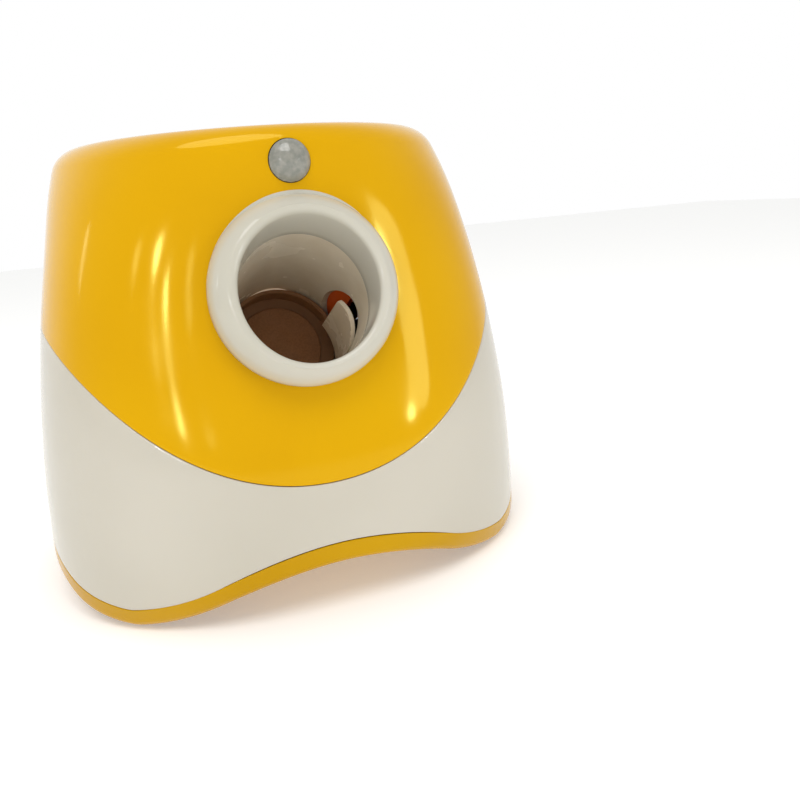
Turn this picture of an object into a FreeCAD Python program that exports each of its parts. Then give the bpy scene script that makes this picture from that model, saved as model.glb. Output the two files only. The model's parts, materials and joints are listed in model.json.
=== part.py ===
"""Automatic ball launcher for dogs: balls dropped in the top hopper leave through the front mouth.

Units are millimetres. X runs to the right as seen from the front, Y to the back, Z up.
The body is laid out about its own upright axis, and every piece is then shifted along Y so
that the origin lies on the floor under the middle of the outer box.

The launch tube slopes. Its pieces, the striker and the gear train are drawn in a "tube frame":
x to the right, y along the tube from the mouth inwards, z square to the tube, and are then
set in place by in_tube().
"""
import FreeCAD, Part
import math
import os

V = FreeCAD.Vector
X_AXIS = V(1, 0, 0)
Y_AXIS = V(0, 1, 0)
Z_AXIS = V(0, 0, 1)

# ---------------------------------------------------------------- driving dimensions
BODY_HEIGHT = 200.7
RIM_ROUND = 9.0             # rounding of the top outer edge
HOPPER_OPENING_R = 76.0
# height, half width, depth in front of the axis, depth behind it, squareness of the corners
SECTIONS = (
    (0.0, 119.0, 97.6, 119.0, 2.53),
    (16.0, 118.9, 105.4, 118.9, 2.38),
    (38.0, 117.9, 104.3, 117.9, 2.46),
    (62.0, 115.6, 101.7, 115.6, 2.60),
    (95.0, 111.0, 94.7, 111.0, 2.80),
    (130.0, 104.4, 88.3, 104.4, 2.93),
    (165.0, 96.3, 86.8, 96.3, 2.67),
    (183.0, 91.8, 86.6, 91.8, 2.34),
    (BODY_HEIGHT - RIM_ROUND, 89.0, 86.4, 89.0, 2.17),
)
TOP_SECTION = (BODY_HEIGHT, 86.2, 86.2, 86.2, 2.0)      # before the rim is rounded
RIM_STEPS = 4
SECTION_POINTS = 32
BOX_SHIFT_Y = -5.55         # brings the outer box's middle over the origin

WALL = 2.6
TOP_WALL = 3.2
PART_GAP = 0.35             # open joint between two shells

SPLIT_LOW = 57.1            # the colour joint is a U: its lowest height, then two growth terms
SPLIT_X2 = 5.15e-3
SPLIT_X4 = 1.13e-7
FRONT_ARCH = (22.0, 103.8, 0.0)    # height, half span and foot level of the arches
SIDE_ARCH = (18.6, 100.0, -0.6)
TRIM_HEIGHT = 9.2           # height of the base's visible edge above the arch
FLOOR = (22.4, 25.0)        # the base's inside floor

MOUTH = V(0, -101.0, 138.2)
LAUNCH_ANGLE = 25.0
TUBE_R = 28.5
TUBE_WALL = 2.2
TUBE_END = 160.0            # along the tube from the mouth
TUBE_LOWER_END = 138.5      # the lower half stops short of the gears

COLLAR_ANGLE = 12.0
COLLAR_R = 39.0
COLLAR_DEPTH = 21.0         # from the lip to the back of the neck
NECK_R = 33.4
COLLAR_SCREW_R = 35.9

DROP_Y = 10.0               # the balls fall down this upright line
DROP_R = 27.0

STRIKER_FACE = 88.0
STRIKER_TRAVEL = 62.5
RACK_LINE = -8.0            # pitch line of the rack in the tube frame
MODULE = 1.0
FINE_MODULE = 0.6
DRIVE_TEETH = 30
DRIVE_AT = (170.8, RACK_LINE - DRIVE_TEETH * MODULE / 2)
OUTPUT_TEETH = 30
SMALL_TEETH = 12
SECOND_TEETH = 40
FIRST_TEETH = 36

SENSOR_Z = 186.2
SENSOR_R = 8.2

PANEL_Z = 104.0
PANEL_TILT = 9.5
INLET_X = 42.0
INLET_Z = 45.0
INLET_TURN = -12.0          # the recess faces square out of the curved wall
MECH_FLOOR = 25.6           # top of the pads that carry the mechanism


# ---------------------------------------------------------------- small helpers
def box(x, y, z):
    """Box from three (low, high) pairs."""
    return Part.makeBox(x[1] - x[0], y[1] - y[0], z[1] - z[0], V(x[0], y[0], z[0]))


def rod(radius, start, end):
    """Round bar between two points."""
    along = end - start
    return Part.makeCylinder(radius, along.Length, start, along)


def tube(outer, inner, start, end):
    """Round bar with a round hole through it."""
    along = (end - start).normalize()
    return rod(outer, start, end).cut(rod(inner, start - along, end + along))


def fuse(*shapes):
    """Union of shapes, with the seams between them removed."""
    body = shapes[0]
    for other in shapes[1:]:
        body = body.fuse(other)
    return body.removeSplitter()


def turned(profile, start=V(0, 0, 0)):
    """Solid of revolution about Y from (radius, y) corners joined by straight lines or arcs.

    A corner written as ((r, y), (r, y)) is an arc's middle and end point.
    """
    edges = []
    here = None
    first = None
    for corner in profile:
        is_arc = isinstance(corner[0], tuple)
        target = corner[1] if is_arc else corner
        there = V(target[0], target[1], 0)
        if here is None:
            first = there
        elif is_arc:
            edges.append(Part.Arc(here, V(corner[0][0], corner[0][1], 0), there).toShape())
        else:
            edges.append(Part.makeLine(here, there))
        here = there
    edges.append(Part.makeLine(here, first))
    solid = Part.Face(Part.Wire(edges)).revolve(V(0, 0, 0), Y_AXIS, 360)
    solid.translate(start)
    return solid


def in_tube(shape):
    """Move a piece from the tube frame to the body."""
    placed = shape.copy()
    placed.rotate(V(0, 0, 0), X_AXIS, -LAUNCH_ANGLE)
    placed.translate(MOUTH)
    return placed


def in_collar(shape):
    """Move a piece from the collar's frame to the body."""
    placed = shape.copy()
    placed.rotate(V(0, 0, 0), X_AXIS, -COLLAR_ANGLE)
    placed.translate(MOUTH)
    return placed


def in_panel(shape):
    """Move a piece drawn about the control panel's outer face, which looks along +Y."""
    placed = shape.copy()
    placed.rotate(V(0, 0, 0), X_AXIS, PANEL_TILT)
    placed.translate(V(0, PANEL_Y, PANEL_Z))
    return placed


def in_inlet(shape):
    """Move a piece drawn about the charging recess, which looks along +Y."""
    placed = shape.copy()
    placed.rotate(V(0, 0, 0), Z_AXIS, INLET_TURN)
    placed.translate(V(INLET_X, INLET_Y, INLET_Z))
    return placed


def polygon(points, x, thickness):
    """Plate square to X from (y, z) corners."""
    corners = [V(x, y, z) for y, z in points]
    corners.append(corners[0])
    return Part.Face(Part.makePolygon(corners)).extrude(V(thickness, 0, 0))


def wire_along(points, radius, bend):
    """Round wire through points, with tangent arcs of radius bend at the inner ones."""
    edges = []
    here = points[0]
    for before, corner, after in zip(points, points[1:], points[2:]):
        back = (before - corner).normalize()
        ahead = (after - corner).normalize()
        half = back.getAngle(ahead) / 2
        reach = bend / math.tan(half)
        middle = corner + (back + ahead).normalize() * (bend / math.sin(half) - bend)
        edges.append(Part.makeLine(here, corner + back * reach))
        edges.append(Part.Arc(corner + back * reach, middle, corner + ahead * reach).toShape())
        here = corner + ahead * reach
    edges.append(Part.makeLine(here, points[-1]))
    path = Part.Wire(edges)
    section = Part.Wire(Part.makeCircle(radius, points[0], points[1] - points[0]))
    return path.makePipeShell([section], True, False)


def screw(head, tip, head_r=2.6, shank_r=1.45, head_length=2.0):
    """Pan-head screw with its head's outer face at head."""
    along = (tip - head).normalize()
    neck = head + along * head_length
    socket = rod(head_r * 0.45, head - along, head + along * head_length * 0.55)
    return rod(head_r, head, neck).fuse(rod(shank_r, neck, tip)).cut(socket)


# ---------------------------------------------------------------- the body's form
def section_wire(height, half_width, front, rear, squareness, inset):
    """Closed curve of one level: a rounded square whose depth differs front and back."""
    points = []
    for i in range(SECTION_POINTS):
        angle = math.pi / 2 + 2 * math.pi * i / SECTION_POINTS
        across = abs(math.cos(angle)) / (half_width - inset)
        depth = (rear if math.sin(angle) > 0 else front) - inset
        along = abs(math.sin(angle)) / depth
        radius = (across ** squareness + along ** squareness) ** (-1 / squareness)
        points.append(V(radius * math.cos(angle), radius * math.sin(angle), height))
    curve = Part.BSplineCurve()
    curve.interpolate(Points=points, PeriodicFlag=True)
    return Part.Wire(curve.toShape())


def rim_form(inset):
    """Solid that rounds the body over from its last section to the flat top."""
    reach = RIM_ROUND - inset
    wires = []
    for i in range(RIM_STEPS + 1):
        turn = math.pi / 2 * i / RIM_STEPS
        share = reach * math.sin(turn) / RIM_ROUND
        level = [a + (b - a) * share for a, b in zip(SECTIONS[-1], TOP_SECTION)]
        wires.append(section_wire(*level, inset + reach * (1 - math.cos(turn))))
    return Part.makeLoft(wires, True, False)


def body_form(inset):
    """Solid through all the sections and the rounded rim, drawn in by inset."""
    wires = [section_wire(*section, inset) for section in SECTIONS]
    return Part.makeLoft(wires, True, False).fuse(rim_form(inset))


def split_height(x):
    return SPLIT_LOW + SPLIT_X2 * x ** 2 + SPLIT_X4 * x ** 4


def above_split(lift):
    """Everything above the U-shaped colour joint, raised by lift."""
    reach = 130.0
    steps = 12
    points = []
    for i in range(steps + 1):
        x = reach * (2 * i / steps - 1)
        points.append(V(x, -150, split_height(x) + lift))
    curve = Part.BSplineCurve()
    curve.interpolate(points)
    top = 260
    corners = [points[-1], V(reach, -150, top), V(-reach, -150, top), points[0]]
    sides = Part.makePolygon(corners).Edges
    return Part.Face(Part.Wire([curve.toShape()] + sides)).extrude(V(0, 300, 0))


def arch_face(arch, lift, place):
    """Face below one arch: a crown arc and two foot arcs that meet tangent to each other.

    place(across, height) gives the point of the face at a distance and height.
    """
    height, half, foot = arch
    base = foot + lift
    radius = (half ** 2 + height ** 2) / (4 * height)
    middle = half / 4
    sag = radius - math.sqrt(radius ** 2 - middle ** 2)
    quarter = 3 * half / 4
    reach = 140.0
    low = -10.0
    level = [place(-reach, base), place(-half, base), place(-quarter, base + sag),
             place(-half / 2, base + height / 2), place(0, base + height),
             place(half / 2, base + height / 2), place(quarter, base + sag),
             place(half, base), place(reach, base)]
    edges = [Part.makeLine(level[0], level[1]),
             Part.Arc(level[1], level[2], level[3]).toShape(),
             Part.Arc(level[3], level[4], level[5]).toShape(),
             Part.Arc(level[5], level[6], level[7]).toShape(),
             Part.makeLine(level[7], level[8])]
    edges += Part.makePolygon([level[8], place(reach, low), place(-reach, low), level[0]]).Edges
    return Part.Face(Part.Wire(edges))


def arch_prisms(lift):
    """The two crossed prisms below the arches, raised by lift."""
    front = arch_face(FRONT_ARCH, lift, lambda across, height: V(across, -140, height))
    side = arch_face(SIDE_ARCH, lift, lambda across, height: V(-140, across, height))
    return front.extrude(V(0, 280, 0)), side.extrude(V(280, 0, 0))


def above_arches(shape, lift):
    """The part of a shape that lies over the arches raised by lift."""
    first, second = arch_prisms(lift)
    return shape.cut(first).cut(second)


def below_arches(shape, lift):
    """The part of a shape that lies under the arches raised by lift."""
    return shape.cut(above_arches(box((-135, 135), (-135, 135), (-9, 240)), lift))


def inner_form(inset):
    """The hollow behind a wall of thickness inset, under the top wall."""
    top = BODY_HEIGHT - TOP_WALL
    return body_form(inset).cut(box((-150, 150), (-150, 150), (top, 260)))


OUTER = body_form(0)
INNER = inner_form(WALL)
WALLS = OUTER.cut(INNER)


def front_y(x, z):
    """Y of the outer surface in front of the axis."""
    line = Part.makeLine(V(x, -150, z), V(x, 0, z))
    return line.common(OUTER).BoundBox.YMin


def rear_y(x, z):
    """Y of the outer surface behind the axis."""
    line = Part.makeLine(V(x, 0, z), V(x, 150, z))
    return line.common(OUTER).BoundBox.YMax


PANEL_Y = rear_y(0, PANEL_Z)
INLET_Y = rear_y(INLET_X, INLET_Z)
SENSOR_Y = front_y(0, SENSOR_Z)
print("panel face y %.1f, inlet %.1f, sensor %.1f" % (PANEL_Y, INLET_Y, SENSOR_Y))

CASING_BOSSES = [(x, y) for x in (-96.5, 96.5) for y in (-34.0, 34.0)]
FEET = [(x, y) for x in (-80.0, 80.0) for y in (-66.0, 76.0)]
COLLAR_SCREW_ANGLES = (30, 150, 210, 330)


def collar_screw_point(angle, depth):
    """Point on a collar screw's line, in the collar's frame."""
    turn = math.radians(angle)
    return V(COLLAR_SCREW_R * math.cos(turn), depth, COLLAR_SCREW_R * math.sin(turn))


# ---------------------------------------------------------------- casing
PANEL_HALF = (29.0, 15.0)
PANEL_CORNER = 5.0
RECESS = 1.7                # depth of the charging recess
HOPPER_FLANGE_TOP = BODY_HEIGHT - TOP_WALL - 0.1
HOPPER_FLANGE = 2.6         # thickness
BOWL_SCREWS = [(79.6 * math.cos(math.radians(a)), 79.6 * math.sin(math.radians(a)))
               for a in (40, 140, 220, 320)]

CASING_BOSS_R = 4.6
CASING_BOSS_TOP = 165.0
CASING_SEAT = 20.4          # where the casing screws' heads bear
FOOT_R = 10.6
FOOT_STEP = 1.6             # the rubber pads stand this far out of the feet
PAD_R = 4.4
BOARD_Z = 34.0
BOARD_POST_R = 3.2
BOARD_POSTS = [(-84.0, 36.0), (-40.0, 36.0), (-84.0, 74.0), (-40.0, 74.0)]
# places of the mounting screws: gear plates, rear bracket, tube cradle, battery holder
MECH_PADS = [(-20.0, 16.0), (-20.0, 44.0), (44.0, 16.0), (44.0, 44.0),
             (-20.0, 96.0), (20.0, 96.0), (-6.5, -63.0), (6.5, -63.0),
             (-70.0, -51.7), (-70.0, 27.4)]

CASING_SCREW_R = 1.45
MOUNT_SCREW_R = 1.05
BOWL_SCREW_R = 1.05
COLLAR_SCREW_SHANK = 1.15
POST_SCREW_R = 1.1
MOTOR_SCREW_R = 0.95
GRIP = 0.02                 # a screw's hole over its shank


def rounded_plate(half_x, half_z, corner, y_low, y_high):
    """Plate square to Y with rounded corners."""
    plate = box((-half_x, half_x), (y_low, y_high), (-half_z, half_z))
    edges = [e for e in plate.Edges if abs(e.tangentAt(e.FirstParameter).y) > 0.99]
    return plate.makeFillet(corner, edges)


def hopper_opening():
    """Cutter for the round opening, flared so that the rim's inner edge is rounded."""
    lip = 1.1
    slant = lip * (1 - math.sqrt(0.5))
    top = BODY_HEIGHT
    cutter = turned([
        (0, 150), (HOPPER_OPENING_R, 150), (HOPPER_OPENING_R, top - lip),
        ((HOPPER_OPENING_R + slant, top - slant), (HOPPER_OPENING_R + lip, top)),
        (HOPPER_OPENING_R + lip, top + 20), (0, top + 20)])
    cutter.rotate(V(0, 0, 0), X_AXIS, 90)
    return cutter


def upper_shell():
    shell = WALLS.cut(hopper_opening()).common(above_split(PART_GAP / 2))
    half_wall = body_form(WALL / 2)
    for x, y in CASING_BOSSES:
        low = V(x, y, MECH_FLOOR + 0.2)
        boss = rod(CASING_BOSS_R, low, V(x, y, CASING_BOSS_TOP)).common(half_wall)
        boss = boss.cut(rod(CASING_SCREW_R + GRIP, V(x, y, 0), V(x, y, 60)))
        shell = shell.fuse(boss)
    neck = in_collar(rod(NECK_R + 0.4, V(0, -10, 0), V(0, 60, 0)))
    shell = shell.cut(neck)
    for angle in COLLAR_SCREW_ANGLES:
        post = rod(3.6, collar_screw_point(angle, -10), collar_screw_point(angle, 60))
        shell = shell.cut(in_collar(post))
    shell = shell.cut(rod(SENSOR_R + 0.3, V(0, -100, SENSOR_Z), V(0, -70, SENSOR_Z)))
    half_x, half_z = PANEL_HALF
    pocket = rounded_plate(half_x + 0.3, half_z + 0.3, PANEL_CORNER + 0.3, -1.6, 10)
    window = rounded_plate(half_x - 3, half_z - 3, PANEL_CORNER - 2, -12, 10)
    shell = shell.cut(in_panel(pocket.fuse(window)))
    for x, y in BOWL_SCREWS:
        shell = shell.cut(rod(BOWL_SCREW_R + GRIP, V(x, y, 190), V(x, y, BODY_HEIGHT - 1.2)))
    return shell


def lower_skirt():
    skirt = WALLS.cut(above_split(-PART_GAP / 2))
    skirt = above_arches(skirt, TRIM_HEIGHT + PART_GAP / 2)
    for x, y in CASING_BOSSES:
        skirt = skirt.cut(rod(CASING_BOSS_R + 0.4, V(x, y, 0), V(x, y, 180)))
    pocket = rounded_plate(8.0, 5.5, 2.5, -RECESS, 8)
    socket = rounded_plate(4.7, 1.85, 1.6, -12, 8)
    ear = box((-3.2, 3.2), (-12, 8), (-5.4, -4.0))
    return skirt.cut(in_inlet(pocket.fuse(socket).fuse(ear)))


def base_tray():
    low, high = FLOOR
    band = OUTER.cut(body_form(WALL + 1.2)).common(box((-135, 135), (-135, 135), (-1, 60)))
    tray = above_arches(below_arches(band, TRIM_HEIGHT - PART_GAP / 2), 0)
    floor = box((-135, 135), (-135, 135), FLOOR).common(body_form(WALL + PART_GAP))
    tray = tray.fuse(floor)
    seat = CASING_SEAT - 4.4
    posts = [rod(CASING_BOSS_R + 0.8, V(x, y, seat), V(x, y, MECH_FLOOR)) for x, y in CASING_BOSSES]
    posts += [rod(PAD_R, V(x, y, low - 3), V(x, y, MECH_FLOOR)) for x, y in MECH_PADS]
    posts += [rod(BOARD_POST_R, V(x, y, low - 3), V(x, y, BOARD_Z)) for x, y in BOARD_POSTS]
    posts += [rod(FOOT_R, V(x, y, FOOT_STEP), V(x, y, high)) for x, y in FEET]
    for post in posts:
        tray = tray.fuse(post)
    for x, y in FEET:
        tray = tray.cut(rod(9.2, V(x, y, 0), V(x, y, FOOT_STEP + 1.6)))
    for x, y in CASING_BOSSES:
        tray = tray.cut(rod(1.7, V(x, y, 0), V(x, y, 40)))
        tray = tray.cut(rod(3.2, V(x, y, 0), V(x, y, CASING_SEAT)))
    for x, y in MECH_PADS + BOARD_POSTS:
        tray = tray.cut(rod(MOUNT_SCREW_R + GRIP, V(x, y, MECH_FLOOR - 5.2), V(x, y, 60)))
    return tray


def rubber_feet():
    feet = []
    for x, y in FEET:
        pad = rod(9.0, V(x, y, 0), V(x, y, FOOT_STEP + 1.5))
        low = [e for e in pad.Edges if e.BoundBox.ZMax < 0.01]
        feet.append(pad.makeFillet(0.7, low))
    return Part.makeCompound(feet)


def casing_screws():
    head = CASING_SEAT - 2.0
    return Part.makeCompound([screw(V(x, y, head), V(x, y, 44), 2.9, CASING_SCREW_R)
                              for x, y in CASING_BOSSES])


# ---------------------------------------------------------------- mouth and tube
def launch_collar():
    lip = 2.9
    dome = turned([
        (20, 40), (COLLAR_R, 40), (COLLAR_R, 11.5),
        ((COLLAR_R - 2.6, 4.0), (TUBE_R + lip + 0.6, 0)),
        (20, 0)])
    collar = in_collar(dome).cut(body_form(-0.12))
    collar = collar.fuse(in_collar(rod(NECK_R, V(0, 6, 0), V(0, COLLAR_DEPTH, 0))))
    for angle in COLLAR_SCREW_ANGLES:
        post = rod(3.2, collar_screw_point(angle, 9), collar_screw_point(angle, COLLAR_DEPTH))
        pilot = rod(COLLAR_SCREW_SHANK + GRIP, collar_screw_point(angle, 13),
                    collar_screw_point(angle, 40))
        collar = collar.fuse(in_collar(post)).cut(in_collar(pilot))
    collar = collar.cut(in_tube(rod(TUBE_R, V(0, -20, 0), V(0, 60, 0))))
    rim = [e for e in collar.Edges if is_mouth_edge(e)]
    return collar.makeFillet(lip, rim).removeSplitter()


def is_mouth_edge(edge):
    """True for the edge where the bore leaves the collar's front."""
    middle = edge.CenterOfMass
    reach = edge.BoundBox
    return reach.YMax < MOUTH.y + 10 and abs(reach.XLength - 2 * TUBE_R) < 1.5 \
        and abs(middle.z - MOUTH.z) < 5


def launch_tube():
    outer = TUBE_R + TUBE_WALL
    barrel = tube(outer, TUBE_R, V(0, -10, 0), V(0, TUBE_END, 0))
    barrel = barrel.cut(box((-40, 40), (TUBE_LOWER_END, 200), (-40, 1.0)))
    window = window_cutter(0)
    barrel = in_tube(barrel.cut(window))
    flange = rod(COLLAR_SCREW_R + 3.6, V(0, COLLAR_DEPTH + 0.1, 0), V(0, COLLAR_DEPTH + 2.7, 0))
    barrel = barrel.fuse(in_collar(flange))
    barrel = barrel.cut(in_tube(rod(TUBE_R, V(0, -30, 0), V(0, TUBE_END + 20, 0))))
    barrel = barrel.cut(in_collar(box((-60, 60), (-60, COLLAR_DEPTH + 0.1), (-60, 60))))
    for angle in COLLAR_SCREW_ANGLES:
        hole = rod(1.7, collar_screw_point(angle, 10), collar_screw_point(angle, 40))
        barrel = barrel.cut(in_collar(hole))
    drop = rod(DROP_R, V(0, DROP_Y, drop_floor()), V(0, DROP_Y, 200))
    barrel = barrel.cut(drop)
    return barrel.removeSplitter()


def drop_floor():
    """Height of the tube's axis where a dropped ball comes to rest."""
    along = (DROP_Y - MOUTH.y) / math.cos(math.radians(LAUNCH_ANGLE))
    return MOUTH.z - along * math.sin(math.radians(LAUNCH_ANGLE))


def collar_screws():
    screws = []
    for angle in COLLAR_SCREW_ANGLES:
        head = collar_screw_point(angle, COLLAR_DEPTH + 4.7)
        tip = collar_screw_point(angle, COLLAR_DEPTH - 6)
        screws.append(in_collar(screw(head, tip, 2.5, COLLAR_SCREW_SHANK)))
    return Part.makeCompound(screws)


# ---------------------------------------------------------------- side window and flap
WINDOW_AT = (68.0, 0.0)
WINDOW_HALF = (28.0, 17.5)
FLAP_TOP = 7.0
FRAME_IN = TUBE_R + TUBE_WALL + 0.3
FRAME_OUT = FRAME_IN + 2.2
HINGE_X = 28.0
HINGE_Z = -20.0
HINGE_ENDS = (33.5, 102.5)
FLAP_LEAN = 14.0            # at rest the flap leans this far into the bore
FLAP_END = 78.4             # clear of the striker's hood


def window_cutter(inset):
    """Oval prism through the tube's right wall, reduced by inset."""
    half_y, half_z = WINDOW_HALF
    oval = Part.Ellipse(V(10, WINDOW_AT[0], WINDOW_AT[1]), half_y - inset, half_z - inset)
    oval.Axis = X_AXIS
    oval.XAxis = Y_AXIS
    return Part.Face(Part.Wire(oval.toShape())).extrude(V(60, 0, 0))


def ball_flap():
    """Paddle in the lower part of the window that leans in and is pushed out by a ball."""
    outer = TUBE_R + TUBE_WALL
    plate = tube(outer, TUBE_R + 0.2, V(0, 30, 0), V(0, 110, 0))
    plate = plate.common(window_cutter(0.7))
    plate = plate.common(box((0, 60), (0, FLAP_END), (-30, FLAP_TOP)))
    knuckles = []
    for middle in (WINDOW_AT[0] - 11, WINDOW_AT[0] + 11):
        low = middle - 4
        high = middle + 4
        arm = polygon_along_y([(27.2, -12.5), (28.4, -9.5), (31.8, -12.0),
                               (HINGE_X + 2.2, HINGE_Z + 0.5), (HINGE_X - 0.6, HINGE_Z + 1.7)],
                              low, high)
        knuckle = rod(2.3, V(HINGE_X, low, HINGE_Z), V(HINGE_X, high, HINGE_Z))
        knuckles.append(arm.fuse(knuckle))
    bore = rod(1.05, V(HINGE_X, 0, HINGE_Z), V(HINGE_X, 200, HINGE_Z))
    clear = rod(TUBE_R + 0.2, V(0, 0, 0), V(0, 200, 0))
    flap = plate.fuse(knuckles[0]).fuse(knuckles[1]).cut(bore).cut(clear)
    wall = tube(outer + 0.3, TUBE_R - 0.3, V(0, 0, 0), V(0, 120, 0)).cut(window_cutter(0.3))
    for _ in range(2):
        flap.rotate(V(HINGE_X, 0, HINGE_Z), Y_AXIS, -FLAP_LEAN / 2)
        flap = flap.cut(wall)
    return in_tube(flap.removeSplitter())


def polygon_along_y(points, low, high):
    """Bar along Y from (x, z) corners."""
    corners = [V(x, low, z) for x, z in points]
    corners.append(corners[0])
    return Part.Face(Part.makePolygon(corners)).extrude(V(0, high - low, 0))


def flap_frame():
    """Frame round the window's outside that holds the flap's pin and switch."""
    low = WINDOW_AT[0] - WINDOW_HALF[0] - 6
    high = WINDOW_AT[0] + WINDOW_HALF[0] + 6
    frame = tube(FRAME_OUT, FRAME_IN, V(0, low, 0), V(0, high, 0))
    frame = frame.common(box((12, 60), (0, 120), (-16, 27)))
    open_low = low + 4
    open_high = high - 4
    frame = frame.cut(box((0, 60), (open_low, open_high), (-30, FLAP_TOP + 1.8)))
    for start in (low, open_high):
        lug = polygon_along_y([(27.2, -14), (30.4, -14), (HINGE_X + 3.2, HINGE_Z),
                               (HINGE_X + 1.2, HINGE_Z - 3.2), (HINGE_X - 2.6, HINGE_Z - 2.4)],
                              start, start + 4)
        frame = frame.fuse(lug)
    arm = box((31.5, 46), (open_high, high), (-4, 12))
    frame = frame.fuse(arm)
    frame = frame.cut(rod(FRAME_IN, V(0, 0, 0), V(0, 200, 0)))
    frame = frame.cut(rod(1.0 + GRIP, V(HINGE_X, 0, HINGE_Z), V(HINGE_X, 200, HINGE_Z)))
    chute_space = rod(SPIGOT_R + 3.9, V(0, DROP_Y, 60), V(0, DROP_Y, 200))
    return in_tube(frame.removeSplitter()).cut(chute_space)


def flap_pin():
    low, high = HINGE_ENDS
    return in_tube(rod(1.0, V(HINGE_X, low, HINGE_Z), V(HINGE_X, high, HINGE_Z)))


def flap_spring():
    """Torsion spring round the pin, drawn as its wound sleeve with two legs."""
    start = WINDOW_AT[0] - 5
    end = WINDOW_AT[0] + 5
    coil = tube(2.1, 1.2, V(HINGE_X, start, HINGE_Z), V(HINGE_X, end, HINGE_Z))
    leg = rod(0.4, V(HINGE_X + 1.7, end - 1, HINGE_Z), V(HINGE_X + 6.4, end - 1, HINGE_Z + 13))
    return in_tube(coil.fuse(leg))


def ball_switch():
    """Microswitch that the flap presses as a ball goes by."""
    body = box((39.6, 46), (86, 97.9), (-2, 9))
    button = box((38.6, 39.7), (90, 93), (2, 5))
    return in_tube(body.fuse(button))


# ---------------------------------------------------------------- hopper
BOWL_LOW = 140.0
BOWL_WALL = 2.4
SPIGOT_R = DROP_R + BOWL_WALL


def hopper_bowl():
    """Slanted funnel: its outlet is behind the middle of its rim."""
    def cone(grow, low, high):
        share = (high - BOWL_LOW) / (HOPPER_FLANGE_TOP - BOWL_LOW)
        mouth_r = DROP_R + (HOPPER_OPENING_R - DROP_R) * share
        mouth_y = DROP_Y * (1 - share)
        lower = Part.Wire(Part.makeCircle(DROP_R + grow, V(0, DROP_Y, low)))
        upper = Part.Wire(Part.makeCircle(mouth_r + grow, V(0, mouth_y, high)))
        return Part.makeLoft([lower, upper], True, True)
    throat_top = BOWL_LOW + 6
    outside = cone(BOWL_WALL, throat_top, HOPPER_FLANGE_TOP)
    outside = outside.fuse(rod(SPIGOT_R, V(0, DROP_Y, BOWL_LOW), V(0, DROP_Y, throat_top)))
    flange = rod(82.6, V(0, 0, HOPPER_FLANGE_TOP - HOPPER_FLANGE), V(0, 0, HOPPER_FLANGE_TOP))
    flange = flange.common(body_form(WALL + 0.15))
    inside = cone(0, throat_top, HOPPER_FLANGE_TOP)
    inside = inside.fuse(rod(DROP_R, V(0, DROP_Y, BOWL_LOW - 5), V(0, DROP_Y, throat_top)))
    bowl = outside.fuse(flange).cut(inside)
    for x, y in BOWL_SCREWS:
        bowl = bowl.cut(rod(1.5, V(x, y, 180), V(x, y, 210)))
        bowl = bowl.cut(rod(2.9, V(x, y, 180), V(x, y, HOPPER_FLANGE_TOP - HOPPER_FLANGE)))
    return bowl.removeSplitter()


def bowl_screws():
    top = BODY_HEIGHT - 1.4
    head = HOPPER_FLANGE_TOP - 4.3
    return Part.makeCompound([screw(V(x, y, head), V(x, y, top), 2.3, BOWL_SCREW_R, 1.6)
                              for x, y in BOWL_SCREWS])


def drop_chute():
    """Upright throat from the bowl's outlet to the hole in the launch tube."""
    outer = TUBE_R + TUBE_WALL
    top = BOWL_LOW - 0.2
    low = drop_floor()
    throat = tube(SPIGOT_R, DROP_R, V(0, DROP_Y, low), V(0, DROP_Y, top))
    cup = tube(SPIGOT_R + 2.2, SPIGOT_R + 0.2, V(0, DROP_Y, top - 3), V(0, DROP_Y, top + 5))
    floor_ring = tube(SPIGOT_R + 2.2, DROP_R, V(0, DROP_Y, top - 4), V(0, DROP_Y, top))
    saddle = in_tube(tube(outer + 2.2, outer + 0.15, V(0, 60, 0), V(0, TUBE_END, 0)))
    saddle = saddle.common(rod(SPIGOT_R + 3.5, V(0, DROP_Y, low), V(0, DROP_Y, top)))
    saddle = saddle.common(in_tube(box((-60, 60), (60, TUBE_END), (8, 60))))
    chute = throat.fuse(cup).fuse(floor_ring).fuse(saddle)
    chute = chute.cut(in_tube(rod(outer + 0.15, V(0, 0, 0), V(0, 220, 0))))
    chute = chute.cut(rod(DROP_R, V(0, DROP_Y, 60), V(0, DROP_Y, top + 0.1)))
    chute = chute.cut(rod(SPIGOT_R + 0.2, V(0, DROP_Y, top), V(0, DROP_Y, top + 20)))
    return chute.removeSplitter()


# ---------------------------------------------------------------- striker
RACK_HALF = 4.0
RACK_TOP = -1.0
RACK_SCREW_Z = RACK_LINE + 4.2
HOOD_START = 79.2           # reaches past the front of the drop hole
SKIRT_END = 147.0
HEAD_R = TUBE_R - 0.9
SPRING_Z = 8.0
COIL_R = 7.2
SPRING_SEAT = 217.0
HEAD_BACK = STRIKER_FACE + 4


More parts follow.
